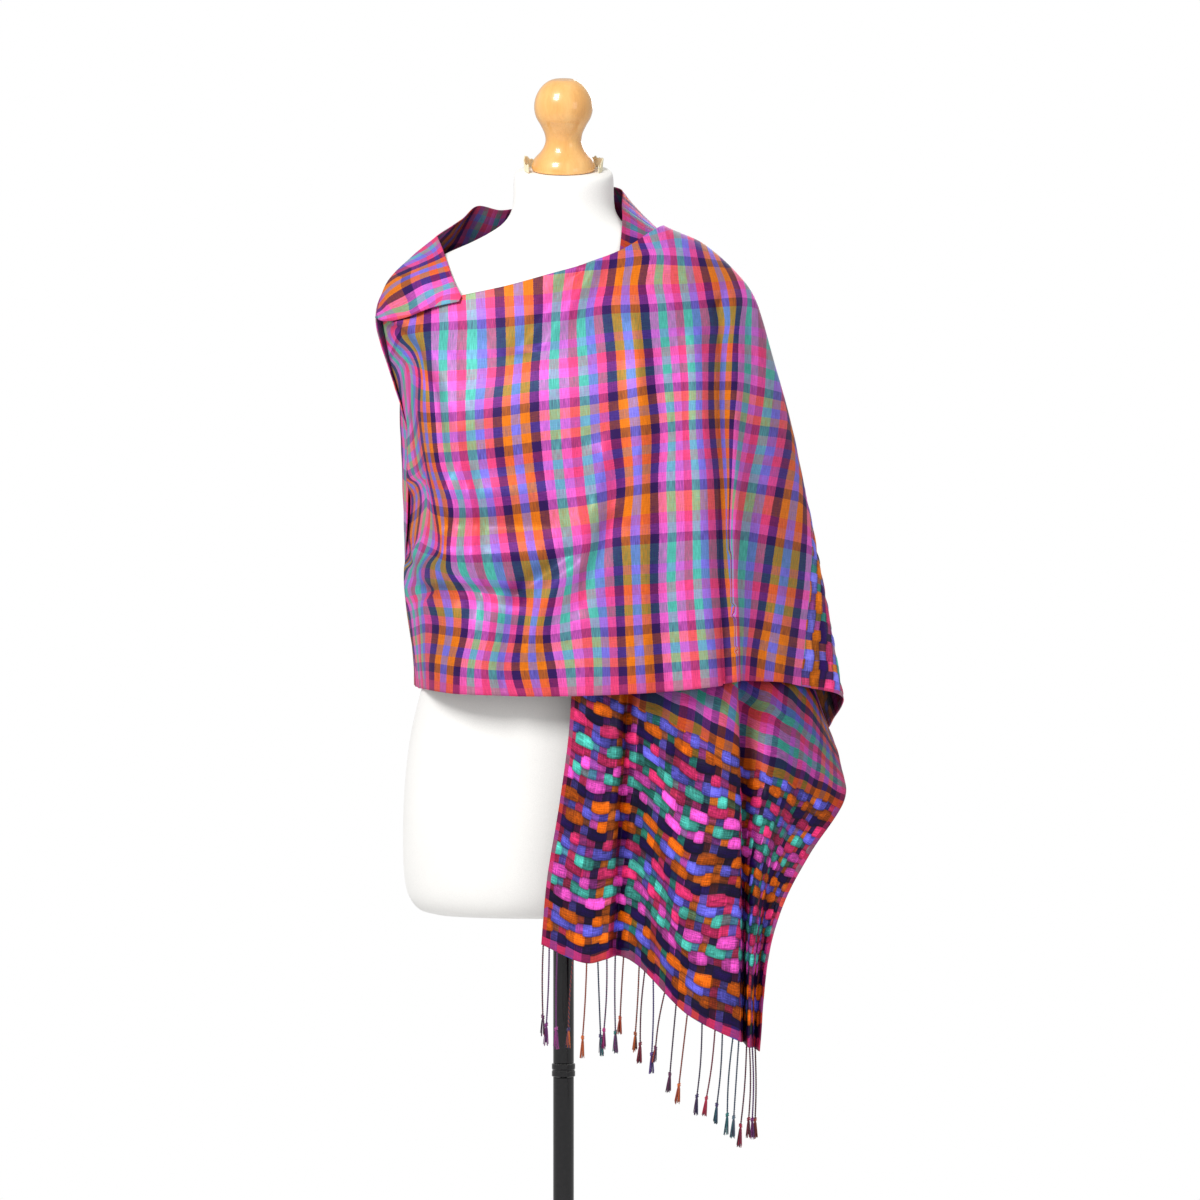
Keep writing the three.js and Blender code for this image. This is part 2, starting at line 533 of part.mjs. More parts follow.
const part = new THREE.Group();
part.add(mesh('hanging_end', hangingEnd, PATCHED_SILK));
part.add(mesh('back_panel', backPanel, SILK));
part.add(mesh('chest_panel', chestPanel, SILK));
part.add(mesh('thrown_end', thrownEnd, PATCHED_SILK));
part.add(mesh('shoulder_flap', shoulderFlap, SILK));
part.add(mesh('front_fringe', fringe(hanging, { start: -0.01, end: -0.07 }), CORDS));
part.add(mesh('back_fringe', fringe(thrown.toReversed(), { start: 0, end: 0.02 }), CORDS));
part.add(mesh('torso', torsoSolid, JERSEY));
part.add(mesh('neck_cover_edge', coverEdge(), JERSEY));
part.add(mesh('neck_knob', knob(), WOOD));
part.add(mesh('base_plate', basePlate(), BLACK_STEEL));
const ringTop = POLE_RING.z + POLE_RING.height;
part.add(mesh('lower_pole', pole(BASE.hubHeight + FACE_GAP, POLE_RING.z - FACE_GAP), BLACK_STEEL));
part.add(mesh('pole_ring', poleRing(), BLACK_STEEL));
part.add(mesh('upper_pole', pole(ringTop + FACE_GAP, FORM_BOTTOM - FACE_GAP), BLACK_STEEL));

export default part;
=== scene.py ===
import math
import random

import bmesh
import bpy
import numpy as np
from mathutils import Matrix, Vector, noise
from mathutils.bvhtree import BVHTree


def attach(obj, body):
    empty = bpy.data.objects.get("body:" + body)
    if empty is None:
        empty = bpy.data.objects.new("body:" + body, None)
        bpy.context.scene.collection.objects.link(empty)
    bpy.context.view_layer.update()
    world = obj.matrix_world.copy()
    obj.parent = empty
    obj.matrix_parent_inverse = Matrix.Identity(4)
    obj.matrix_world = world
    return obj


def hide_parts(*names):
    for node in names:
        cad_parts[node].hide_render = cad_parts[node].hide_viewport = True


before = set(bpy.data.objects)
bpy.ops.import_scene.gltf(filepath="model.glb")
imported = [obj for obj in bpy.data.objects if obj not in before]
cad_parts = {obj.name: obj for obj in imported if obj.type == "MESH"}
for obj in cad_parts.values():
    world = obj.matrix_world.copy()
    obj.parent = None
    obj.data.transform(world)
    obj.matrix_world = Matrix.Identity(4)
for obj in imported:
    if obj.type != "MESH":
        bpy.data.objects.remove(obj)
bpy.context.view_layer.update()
MM = 0.001

# ---------- sizes ----------
CLOTH = 1.1 * MM                # thickness of the silk
LAYER_GAP = 1.2 * MM            # between the middle of a sheet's inner face and what it lies on
PITCH = 9.8 * MM                # width of one stripe of the check, across or down
WIDTH_STRIPES = 50              # stripes from one selvedge to the other
RAISED_ROWS = 28                # rows of raised weave at each end of the scarf
THROWN_END = 82                 # stripes from the tuck under the flap to the thrown end's fringe
RELIEF = 0.9 * MM               # height of a float in the raised weave
FORM_BOTTOM = 697               # from here on in millimetres: the underside of the form
NECK_FOOT = 1442                # where the neck starts to lean
NECK_TOP = 1484
NECK_EDGE = 4                   # height of the neck's rounded edge
NECK_TILT = 0.27                # rise of the neck's top for each step back
FACE_GAP = 0.32                 # between two rigid pieces of the form and the stand
POLE_RADIUS = 11
HUB_TOP = 44                    # top of the base plate's hub
RING_FOOT, RING_HEIGHT = 524, 14

# ---------- sections of the form and the cloth, as in the CAD ----------
TORSO = [
    # height, half width, reach to the front, reach to the back
    (FORM_BOTTOM, 136, 82, 92), (703, 154, 98, 108), (722, 166, 108, 119), (790, 170, 112, 124),
    (880, 163, 108, 118), (960, 144, 98, 102), (1030, 127, 92, 88), (1088, 121, 91, 84),
    (1150, 130, 102, 88), (1200, 143, 118, 92), (1245, 151, 125, 97), (1290, 158, 110, 99),
    (1330, 168, 92, 94), (1352, 170, 80, 86), (1370, 161, 70, 77), (1384, 146, 63, 70),
    (1397, 122, 57, 63), (1408, 97, 54, 59), (1418, 78, 52, 56), (1428, 64, 50, 53),
    (NECK_FOOT, 55, 49, 50), (NECK_TOP - NECK_EDGE, 52, 50, 48), (NECK_TOP, 48, 46, 44),
]
TORSO_SQUARE = 2.25             # 2 is an ellipse, more is squarer
# The end that hangs at the front: weft lines from the fringe up to the top of the shoulder.
HANGING = [
    # inner, centre, pleat, slope, ridge, under, front, back, outer
    [(-23, -138, 675), (24, -143, 656), (62, -137, 662), (128, -146, 603), (180, -152, 577),
     (185, -130, 574), (190, -146, 570), (196, -126, 568), (202, -136, 565)],
    [(-17, -138, 742), (27, -142, 722), (66, -136, 725), (128, -144, 670), (178, -150, 660),
     (184, -128, 658), (192, -144, 655), (202, -122, 656), (210, -130, 657)],
    [(-5, -137, 815), (32, -140, 796), (70, -135, 795), (128, -142, 745), (179, -147, 740),
     (184, -122, 735), (198, -138, 728), (213, -112, 721), (228, -114, 716)],
    [(5, -136, 888), (37, -138, 870), (75, -134, 862), (129, -139, 825), (179, -143, 810),
     (182, -114, 803), (207, -128, 795), (231, -102, 778), (256, -90, 765)],
    [(10, -134, 962), (42, -136, 945), (80, -133, 930), (130, -136, 908), (179, -140, 880),
     (178, -104, 872), (216, -116, 860), (256, -86, 840), (294, -56, 820)],
    [(16, -133, 1022), (50, -134, 1010), (88, -131, 1000), (134, -126, 985), (178, -118, 960),
     (178, -78, 945), (215, -80, 925), (262, -48, 890), (294, -12, 852)],
    [(26, -134, 1102), (60, -134, 1096), (96, -128, 1090), (140, -108, 1080), (180, -90, 1062),
     (184, -60, 1045), (215, -50, 1015), (258, -10, 950), (284, 30, 890)],
    [(36, -134, 1195), (68, -130, 1190), (102, -118, 1185), (146, -84, 1175), (184, -56, 1150),
     (194, -36, 1120), (216, -16, 1080), (248, 30, 1000), (264, 66, 935)],
    [(46, -118, 1285), (76, -108, 1285), (108, -90, 1280), (150, -56, 1262), (184, -26, 1238),
     (198, -6, 1190), (212, 16, 1130), (234, 60, 1045), (246, 88, 975)],
    [(56, -72, 1374), (84, -61, 1360), (116, -46, 1348), (154, -26, 1328), (182, -8, 1300),
     (198, 12, 1240), (208, 36, 1170), (222, 74, 1080), (232, 100, 1005)],
]
# Across the back, from that shoulder to the other one.
BACK = [
    # top, collar, shoulder, blade, waist, hem
    [(62, -4, 1446), (87, -2, 1428), (118, 0, 1406), (156, 4, 1381), (180, 10, 1350), (198, 32, 1280),
     (204, 56, 1200), (212, 88, 1110), (218, 110, 1030)],
    [(61, 36, 1468), (92, 50, 1426), (142, 60, 1370), (178, 80, 1270), (188, 108, 1150),
     (196, 130, 1012)],
    [(38, 60, 1473), (54, 74, 1420), (84, 96, 1350), (114, 120, 1240), (126, 136, 1120),
     (130, 145, 990)],
    [(0, 67, 1468), (4, 84, 1410), (12, 106, 1330), (22, 128, 1220), (30, 142, 1100), (38, 150, 972)],
    [(-38, 62, 1454), (-44, 80, 1398), (-52, 104, 1320), (-54, 126, 1210), (-52, 140, 1090),
     (-50, 148, 956)],
    [(-66, 54, 1447), (-84, 68, 1402), (-104, 86, 1330), (-116, 106, 1220), (-118, 118, 1090),
     (-118, 126, 944)],
    [(-92, 47, 1451), (-112, 48, 1414), (-150, 56, 1350), (-164, 66, 1230), (-160, 72, 1090),
     (-156, 68, 938)],
    [(-107, 30, 1435), (-124, 28, 1412), (-174, 26, 1358), (-174, 34, 1240), (-168, 40, 1090),
     (-158, 36, 937)],
    [(-134, 6, 1415), (-166, 4, 1388), (-198, 0, 1334), (-165, -6, 1205), (-167, -6, 1060),
     (-152, -6, 936)],
]
# The flap over the other shoulder: weft lines from the back of it to the tuck at the front.
FLAP = [
    # selvedge, crest, brow, tuck
    [(-134, 5, 1415), (-160, 3, 1394), (-187, 0, 1366), (-199, -4, 1328)],
    [(-128, -20, 1401), (-154, -21, 1384), (-179, -23, 1358), (-190, -25, 1323)],
    [(-122, -43, 1384), (-140, -45, 1372), (-159, -47, 1352), (-168, -49, 1324)],
    [(-115, -63, 1364), (-124, -66, 1357), (-133, -68, 1347), (-138, -70, 1334)],
    [(-106, -81, 1345), (-107, -82, 1344), (-108, -83, 1342), (-109, -84, 1340)],
]
# The wide panel, from the side under the flap, across the chest, to the far side.
CHEST = [
    # top, yoke, breast, bust, ribs, waist, hem
    [(-192, -6, 1336), (-190, -6, 1316), (-184, -6, 1285), (-165, -6, 1210), (-162, -6, 1130),
     (-167, -6, 1040), (-152, -6, 936)],
    [(-170, -38, 1332), (-168, -44, 1312), (-163, -54, 1285), (-146, -78, 1218), (-138, -86, 1130),
     (-140, -88, 1040), (-138, -80, 935)],
    [(-138, -60, 1342), (-137, -70, 1318), (-135, -84, 1288), (-127, -106, 1228), (-120, -113, 1130),
     (-117, -116, 1040), (-112, -116, 932)],
    [(-106, -76, 1346), (-105, -88, 1320), (-102, -106, 1288), (-98, -124, 1236), (-92, -131, 1130),
     (-87, -134, 1040), (-80, -134, 931)],
    [(-62, -82, 1355), (-61, -94, 1328), (-60, -112, 1292), (-58, -131, 1240), (-54, -137, 1130),
     (-50, -139, 1040), (-46, -140, 930)],
    [(-16, -79, 1368), (-16, -94, 1336), (-15, -116, 1294), (-14, -135, 1244), (-12, -140, 1130),
     (-10, -142, 1040), (-8, -143, 930)],
    [(28, -71, 1381), (30, -90, 1346), (31, -118, 1298), (32, -139, 1246), (32, -144, 1130),
     (32, -146, 1040), (34, -147, 931)],
    [(62, -60, 1396), (66, -84, 1358), (70, -116, 1304), (72, -139, 1244), (73, -147, 1130),
     (74, -149, 1040), (76, -150, 933)],
    [(90, -36, 1415), (102, -66, 1376), (110, -104, 1308), (113, -132, 1240), (114, -146, 1130),
     (115, -150, 1040), (117, -152, 936)],
    [(104, -10, 1424), (144, -36, 1390), (156, -78, 1318), (158, -110, 1240), (158, -132, 1130),
     (159, -141, 1040), (161, -147, 941)],
    [(108, 8, 1424), (152, -8, 1402), (187, -32, 1344), (185, -72, 1240), (182, -97, 1130),
     (181, -114, 1040), (179, -128, 946)],
    [(113, 22, 1420), (164, 8, 1394), (202, -14, 1344), (214, -38, 1240), (217, -56, 1130),
     (217, -70, 1040), (215, -82, 944)],
    [(122, 42, 1408), (168, 32, 1380), (206, 12, 1334), (232, -6, 1235), (246, -20, 1130),
     (253, -30, 1035), (257, -42, 937)],
]
# The end thrown over the shoulder, from there down across the back to its fringe.
THROWN = [
    # top, yoke, breast, bust, ribs, waist, hem
    [(144, 74, 1372), (178, 58, 1340), (208, 42, 1295), (243, 24, 1205), (263, 12, 1110),
     (279, 4, 1025), (295, -6, 926)],
    [(104, 108, 1326), (140, 110, 1290), (176, 104, 1240), (216, 92, 1155), (246, 82, 1065),
     (268, 72, 985), (280, 58, 893)],
    [(52, 132, 1278), (88, 140, 1240), (122, 144, 1188), (166, 142, 1105), (202, 136, 1020),
     (228, 126, 940), (240, 108, 862)],
    [(2, 146, 1230), (36, 156, 1190), (68, 162, 1136), (106, 166, 1052), (142, 166, 968),
     (166, 160, 892), (178, 150, 830)],
]
LOWER_FOLDS = [
    # from (across, down), to (across, down), height at the start, at the end, width
    ((0, 0.195), (0.26, 0.172), 4, 4, 0.014),
    ((0, 0.23), (0.26, 0.206), -9, -9, 0.012),
    ((0, 0.262), (0.26, 0.238), 5, 5, 0.014),
    ((0.728, 0.42), (0.718, 1), 0, 5, 0.016),
    ((0.76, 0.5), (0.76, 1), 0, -2, 0.014),
    ((0.792, 0.38), (0.802, 1), 0, 4, 0.016),
    ((0.844, 0.5), (0.844, 1), 0, -2, 0.014),
    ((0.866, 0.32), (0.887, 1), 0, 4, 0.016),
]
UPPER_FOLDS = [
    # from (across, down), to (across, down), height at the start, at the end, width
    ((0.053, 0.14), (0.128, 0.6), -4, -9, 0.02),
    ((0.064, 0.1), (0.17, 0.55), 7, 6, 0.02),
    ((0.175, 0.64), (0.181, 0.86), -8, -7, 0.02),
    ((0.133, 0.5), (0.138, 0.95), 6, 6, 0.022),
    ((0.05, 0.765), (0.29, 0.77), 12, 6, 0.024),
    ((0.04, 0.835), (0.25, 0.84), -14, -9, 0.016),
    ((0.25, 0.84), (0.34, 0.77), -9, -7, 0.016),
    ((0.34, 0.77), (0.4, 0.66), -7, -3, 0.016),
    ((0.14, 0.65), (0.3, 0.655), 7, 4, 0.02),
    ((0.12, 0.71), (0.3, 0.71), -9, -5, 0.018),
    ((0.39, 0.6), (0.35, 0.8), 7, 5, 0.018),
    ((0.383, 0.69), (0.266, 0.93), 8, 6, 0.02),
    ((0.24, 0.9), (0.22, 0.99), -6, -6, 0.018),
    ((0.383, 0.03), (0.305, 0.34), 7, 4, 0.018),
    ((0.35, 0.04), (0.27, 0.35), -5, -4, 0.018),
    ((0.4, 0.7), (0.35, 0.86), -6, -5, 0.016),
    ((0.446, 0.3), (0.446, 1), 4, 8, 0.016),
    ((0.48, 0.4), (0.485, 1), -3, -5, 0.016),
    ((0.531, 0.35), (0.542, 1), 7, 8, 0.016),
    ((0.579, 0.3), (0.584, 1), -8, -9, 0.014),
    ((0.6, 0.3), (0.602, 1), 4, 9, 0.018),
    ((0.648, 0.45), (0.654, 1), -3, -15, 0.026),
    ((0.7, 0.5), (0.7, 1), 0, 6, 0.024),
    ((0.871, 0.1), (0.882, 1), 2, 7, 0.018),
    ((0.935, 0.05), (0.94, 1), -4, -7, 0.018),
    ((0.988, 0.05), (0.999, 1), 5, 8, 0.02),
]

# Where the check's stripes lie on the draped cloth, seen from the front: for a weft line,
# counted from the tuck under the flap, (warp line, across, up) of points along it.
CHEST_WEFTS = {
    -8: [(15, -179, 1281), (19, -170, 1236), (24, -164, 1186), (29, -152, 1147), (34, -162, 1102),
         (39, -173, 1047), (43, -175, 1010), (47, -173, 968), (50, -169, 942)],
    -4: [(10, -195, 1315), (13, -182, 1297), (15, -169, 1282), (19, -162, 1236), (24, -153, 1180),
         (29, -142, 1134), (34, -148, 1089), (39, -164, 1044), (43, -166, 1007), (47, -160, 965),
         (50, -157, 940)],
    0: [(9.3, -176, 1324), (11, -178, 1309), (13, -163, 1293), (15, -155, 1276), (19, -154, 1230),
         (24, -147, 1176), (29, -138, 1130), (34, -134, 1082), (37, -146, 1064), (39, -147, 1041),
         (43, -139, 1004), (47, -142, 963), (50, -142, 936)],
    5: [(8.6, -140, 1336), (13, -140, 1294), (15, -139, 1272), (19, -136, 1228), (24, -131, 1175),
         (29, -117, 1127), (34, -120, 1077), (37, -116, 1056), (39, -104, 1039), (43, -101, 999),
         (47, -109, 958), (50, -110, 929)],
    12: [(8, -73, 1350), (10, -72, 1328), (13, -71, 1296), (15, -71, 1276), (19, -75, 1233),
         (24, -72, 1180), (29, -64, 1129), (34, -57, 1080), (37, -51, 1050), (39, -47, 1032),
         (43, -50, 993), (47, -55, 954), (50, -48, 926)],
    17: [(8, -22, 1353), (10, -22, 1333), (13, -23, 1302), (15, -25, 1283), (19, -26, 1240),
         (24, -23, 1187), (29, -17, 1135), (34, -10, 1084), (37, -4, 1052), (39, -8, 1032),
         (43, -14, 993), (47, -8, 956), (50, -4, 927)],
    21: [(6, 23, 1378), (8, 19, 1359), (10, 15, 1337), (13, 14, 1307), (15, 15, 1287), (19, 17, 1245),
         (24, 19, 1192), (29, 24, 1140), (34, 29, 1090), (37, 24, 1060), (39, 24, 1040),
         (43, 29, 1000), (47, 32, 958), (50, 32, 928)],
    24: [(4.6, 49, 1393), (8, 45, 1361), (10, 41, 1341), (13, 43, 1312), (15, 45, 1292),
         (19, 47, 1249), (24, 50, 1199), (29, 56, 1147), (34, 52, 1095), (37, 53, 1065),
         (39, 54, 1044), (43, 56, 1001), (47, 58, 958), (50, 59, 930)],
    29: [(3, 86, 1407), (5, 91, 1394), (8, 87, 1363), (10, 90, 1343), (13, 92, 1316), (15, 94, 1296),
         (19, 97, 1258), (24, 102, 1206), (29, 100, 1154), (34, 101, 1100), (39, 100, 1047),
         (43, 102, 1005), (47, 105, 962), (50, 107, 933)],
    34: [(5, 127, 1393), (8, 131, 1364), (10, 134, 1346), (13, 137, 1319), (15, 138, 1300),
         (19, 140, 1261), (24, 140, 1210), (29, 144, 1157), (34, 145, 1103), (39, 146, 1052),
         (43, 149, 1009), (47, 153, 966), (50, 155, 937)],
    38: [(5, 156, 1390), (8, 164, 1366), (10, 167, 1349), (13, 171, 1320), (15, 168, 1301),
         (19, 165, 1261), (24, 166, 1211), (29, 170, 1158), (34, 173, 1104), (39, 176, 1052),
         (43, 180, 1012), (47, 183, 969), (50, 184, 940)],
    41: [(5, 173, 1388), (8, 184, 1367), (10, 189, 1350), (13, 186, 1320), (15, 185, 1301),
         (19, 184, 1261), (24, 180, 1210), (29, 178, 1158), (34, 176, 1104), (39, 178, 1052),
         (43, 181, 1012), (47, 184, 970), (50, 186, 941)],
    44: [(10, 205, 1347), (13, 206, 1318), (15, 206, 1298), (19, 205, 1256), (24, 198, 1205),
         (29, 188, 1155), (34, 181, 1104), (39, 179, 1052), (43, 182, 1012), (47, 185, 970),
         (50, 186, 942)],
    48: [(19, 239, 1247), (24, 235, 1200), (29, 225, 1149), (34, 216, 1098), (39, 209, 1048),
         (43, 204, 1009), (47, 198, 969), (50, 196, 940)],
    53: [(24, 267, 1186), (29, 262, 1139), (34, 258, 1088), (39, 254, 1040), (43, 249, 999),
         (47, 244, 958), (50, 241, 930)],
    57: [(34, 274, 1081), (39, 276, 1036), (43, 279, 994), (47, 280, 953), (50, 278, 928)],
}
FLAP_WEFTS = {
    0: [(0, -128, 1398), (2, -137, 1392), (4, -152, 1385), (6, -169, 1378), (8, -182, 1371)],
    4: [(0, -119, 1378), (2, -132, 1375), (4, -151, 1369), (6, -171, 1359), (8, -188, 1348)],
    6: [(0, -114, 1367), (2, -128, 1362), (4, -147, 1355), (6, -164, 1344), (8, -182, 1337),
         (10, -196, 1331)],
    7: [(0, -112, 1361), (2, -127, 1357), (4, -145, 1348), (6, -163, 1336), (8, -178, 1333),
         (10, -197, 1328)],
    9: [(0, -108, 1347), (2, -129, 1346), (4, -140, 1337), (6, -160, 1330), (8, -175, 1326),
         (10, -197, 1322)],
}

# ---------- colours of the yarn, as they show on screen ----------
# N navy, O orange, L lavender, C coral, T teal, P pink
WEFT_YARNS = {
    "N": (42, 10, 82), "O": (228, 116, 10), "L": (120, 116, 228),
    "C": (233, 66, 128), "T": (93, 196, 183), "P": (247, 102, 210),
}
WARP_YARNS = {
    "N": (66, 40, 98), "O": (246, 134, 42), "L": (126, 112, 218),
    "C": (240, 74, 122), "T": (58, 156, 142), "P": (227, 98, 204),
}
WEFT_REPEAT = "NOLONPTPCTLC"
WARP_REPEAT = "NOOCPNTTLTCPTPNOLONCLCLP"
WARP_START = 5                  # the warp's repeat starts at the fifth stripe from the top selvedge
WEFT_SHARE = 0.63               # how much of a mixed check shows its weft


# ---------- curves and sheets ----------
def through(points, shares):
    """Smooth curves through points[0], points[1], ..., side by side, read at shares of their run."""
    points = np.asarray(points, float)
    before = 2 * points[:1] - points[1:2]
    after = 2 * points[-1:] - points[-2:-1]
    held = np.concatenate([before, points, after])
    last = len(points) - 1
    place = np.clip(np.asarray(shares) * last, 0, last - 1e-9)
    k = place.astype(int)
    w = (place - k).reshape((-1,) + (1,) * (points.ndim - 1))
    a, b, c, d = (held[k + n] for n in range(4))

    def gap(p, q):
        return np.maximum(((q - p) ** 2).sum(-1, keepdims=True), 1e-9) ** 0.25

    g0, g1, g2 = gap(a, b), gap(b, c), gap(c, d)
    out = ((b - a) / g0 - (c - a) / (g0 + g1) + (c - b) / g1) * g1
    back = ((c - b) / g1 - (d - b) / (g1 + g2) + (d - c) / g2) * g1
    return b + out * w + (3 * (c - b) - 2 * out - back) * w**2 + (2 * (b - c) + out + back) * w**3


def lay(table, across, down):
    """A grid of points, across the table's rows and down each of them."""
    sections = np.stack([through(np.array(row)[:, None] * MM, down)[:, 0] for row in table])
    return through(sections, across)


def unit(vectors):
    return vectors / np.maximum(np.linalg.norm(vectors, axis=-1, keepdims=True), 1e-12)


def normals(sheet):
    return unit(np.cross(np.gradient(sheet, axis=1), np.gradient(sheet, axis=0)))


def fold(sheet, folds, across, down):
    """Presses folds into a sheet. Each lifts the cloth along its line and fades over its width."""
    s, t = np.meshgrid(across, down, indexing="ij")
    lifts = np.zeros_like(s)
    for (s0, t0), (s1, t1), start, end, width in folds:
        run = (s1 - s0) ** 2 + (t1 - t0) ** 2
        k = np.clip(((s - s0) * (s1 - s0) + (t - t0) * (t1 - t0)) / run, 0, 1)
        away = np.hypot(s - s0 - k * (s1 - s0), t - t0 - k * (t1 - t0)) / width
        lifts += (start + (end - start) * k) * np.exp(-away**2)
    return sheet + normals(sheet) * lifts[..., None] * MM


def ripple(sheet, height, length, seed):
    """Soft unevenness, as silk has that was folded and hung."""
    flat = sheet.reshape(-1, 3)
    lifts = [height * noise.noise(Vector(p) / length + Vector((seed, 0, 0))) for p in flat]
    return sheet + normals(sheet) * np.array(lifts).reshape(sheet.shape[:2])[..., None]


BURIED = 30 * MM                # what lies deeper than this is another part of the figure
LIFT_STEP = 0.3 * MM            # how much less a lift may be at the next point of the sheet


def rest(sheet, under, clearance):
    """Lifts a sheet off what lies under it until it clears it. The lift spreads to the points about."""
    out = normals(sheet)
    lifts = np.zeros(sheet.shape[:2])
    for i, j in np.ndindex(lifts.shape):
        p, n = Vector(sheet[i, j]), Vector(out[i, j])
        for tree in under:
            hit = tree.ray_cast(p + n * BURIED, -n, 2 * BURIED)
            if hit[0] is not None:
                lifts[i, j] = max(lifts[i, j], BURIED - hit[3] + clearance)
    for _ in range(3):
        wide = np.pad(lifts, 1, mode="edge")
        near = [wide[1 + i:1 + i + lifts.shape[0], 1 + j:1 + j + lifts.shape[1]]
                for i in (-1, 0, 1) for j in (-1, 0, 1)]
        lifts = np.maximum(lifts, np.max(near, axis=0) - LIFT_STEP)
    for _ in range(8):
        wide = np.pad(lifts, 1, mode="edge")
        mean = (wide[2:, 1:-1] + wide[:-2, 1:-1] + wide[1:-1, 2:] + wide[1:-1, :-2]) / 4
        lifts = np.maximum(lifts * 0.5, mean)
    return sheet + out * lifts[..., None]


def run_along(sheet, axis):
    """Distance along the sheet from its first row or column, at each point."""
    steps = np.linalg.norm(np.diff(sheet, axis=axis), axis=-1)
    start = np.zeros_like(np.take(steps, [0], axis=axis))
    return np.concatenate([start, np.cumsum(steps, axis=axis)], axis=axis)


# ---------- meshes ----------
def piece(name, bm, material, slot, *replaced):
    mesh = bpy.data.meshes.new(name)
    bm.to_mesh(mesh)
    bm.free()
    mesh.shade_smooth()
    obj = bpy.data.objects.new(name, mesh)
    bpy.context.collection.objects.link(obj)
    mesh.materials.append(material)
    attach(obj, "root")
    if replaced:
        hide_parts(*replaced)
    return obj


def grid(points):
    """A bmesh grid whose vertices take their places from an array of points."""
    rows, cols = points.shape[:2]
    bm = bmesh.new()
    bmesh.ops.create_grid(bm, x_segments=cols - 1, y_segments=rows - 1, size=1)
    order = []
    for v in bm.verts:
        j = round((v.co.x + 1) / 2 * (cols - 1))
        i = round((v.co.y + 1) / 2 * (rows - 1))
        v.co = points[i, j]
        order.append(i * cols + j)
    return bm, np.array(order)


def tree_of(points):
    bm, _ = grid(points)
    tree = BVHTree.FromBMesh(bm)
    bm.free()
    return tree


def cloth(name, sheet, wefts, warps, to_fringe, material, slot, *replaced):
    """A sheet of silk. Its UV map counts stripes: wefts across, warps down."""
    bm, order = grid(sheet)
    obj = piece(name, bm, material, slot, *replaced)
    mesh = obj.data
    corners = np.zeros(len(mesh.loops), int)
    mesh.loops.foreach_get("vertex_index", corners)
    counts = np.stack([wefts.ravel()[order], warps.ravel()[order]], axis=-1)
    layer = mesh.uv_layers.new(name="stripes")
    layer.data.foreach_set("uv", counts[corners].ravel().astype(np.float32))
    ends = mesh.attributes.new("to_fringe", "FLOAT", "POINT")
    ends.data.foreach_set("value", to_fringe.ravel()[order].astype(np.float32))
    wall = obj.modifiers.new("thickness", "SOLIDIFY")
    wall.thickness = CLOTH
    wall.offset = 0
    return obj


# ---------- materials ----------
SOCKETS = {
    "specular": "Specular IOR Level", "coat": "Coat Weight", "coat_roughness": "Coat Roughness",
    "sheen": "Sheen Weight",
}


class Finish:
    """A material being put together. Each method adds a node and gives back its output."""

    def __init__(self, name, **fixed):
        self.material = bpy.data.materials.new(name)
        self.material.use_nodes = True
        self.tree = self.material.node_tree
        self.shader = self.tree.nodes["Principled BSDF"]
        for socket, value in fixed.items():
            self.shader.inputs[SOCKETS.get(socket, socket.title())].default_value = value

    def node(self, kind, *inputs, **settings):
        made = self.tree.nodes.new("ShaderNode" + kind)
        for key, value in settings.items():
            setattr(made, key, value)
        for socket, value in zip(made.inputs, inputs):
            self.feed(socket, value)
        return made

    def feed(self, socket, value):
        if isinstance(value, bpy.types.NodeSocket):
            self.tree.links.new(value, socket)
        elif value is not None:
            socket.default_value = value

    def math(self, operation, *values):
        return self.node("Math", *values, operation=operation).outputs[0]

    def plus(self, a, b):
        return self.math("ADD", a, b)

    def minus(self, a, b):
        return self.math("SUBTRACT", a, b)

    def times(self, a, b):
        return self.math("MULTIPLY", a, b)

    def toned(self, colour, tone):
        return self.mix(1.0, colour, self.vector(tone, tone, tone), "MULTIPLY")

    def noise(self, where, scale, detail=2.0):
        made = self.node("TexNoise")
        self.feed(made.inputs["Vector"], where)
        made.inputs["Scale"].default_value = scale
        made.inputs["Detail"].default_value = detail
        return made.outputs["Fac"]

    def vector(self, x, y, z=0.0):
        return self.node("CombineXYZ", x, y, z).outputs[0]

    def span(self, value, low, high, to_low=0.0, to_high=1.0):
        return self.node("MapRange", value, low, high, to_low, to_high).outputs[0]

    def ramp(self, value, stops, interpolation="LINEAR"):
        made = self.node("ValToRGB", value)
        made.color_ramp.interpolation = interpolation
        elements = made.color_ramp.elements
        while len(elements) > 1:
            elements.remove(elements[-1])
        elements[0].position, elements[0].color = stops[0][0], stops[0][1]
        for place, colour in stops[1:]:
            elements.new(place).color = colour
        return made.outputs["Color"]

    def mix(self, share, a, b, blend="MIX"):
        made = self.node("Mix", data_type="RGBA", blend_type=blend)
        self.feed(made.inputs["Factor"], share)
        self.feed(made.inputs[6], a)
        self.feed(made.inputs[7], b)
        return made.outputs[2]

    def colour(self, value):
        self.feed(self.shader.inputs["Base Color"], value)

    def bump(self, height, strength, distance):
        made = self.tree.nodes.new("ShaderNodeBump")
        made.inputs["Strength"].default_value = strength
        made.inputs["Distance"].default_value = distance
        self.feed(made.inputs["Height"], height)
        self.feed(self.shader.inputs["Normal"], made.outputs["Normal"])


def shown(rgb):
    return (rgb[0] / 255, rgb[1] / 255, rgb[2] / 255, 1)


def stripes(letters, yarns):
    """Stops of a ramp with one hard band for each run of the same yarn."""
    stops = []
    for k, letter in enumerate(letters):
        if k == 0 or letters[k - 1] != letter:
            stops.append((k / len(letters), shown(yarns[letter])))
    return stops


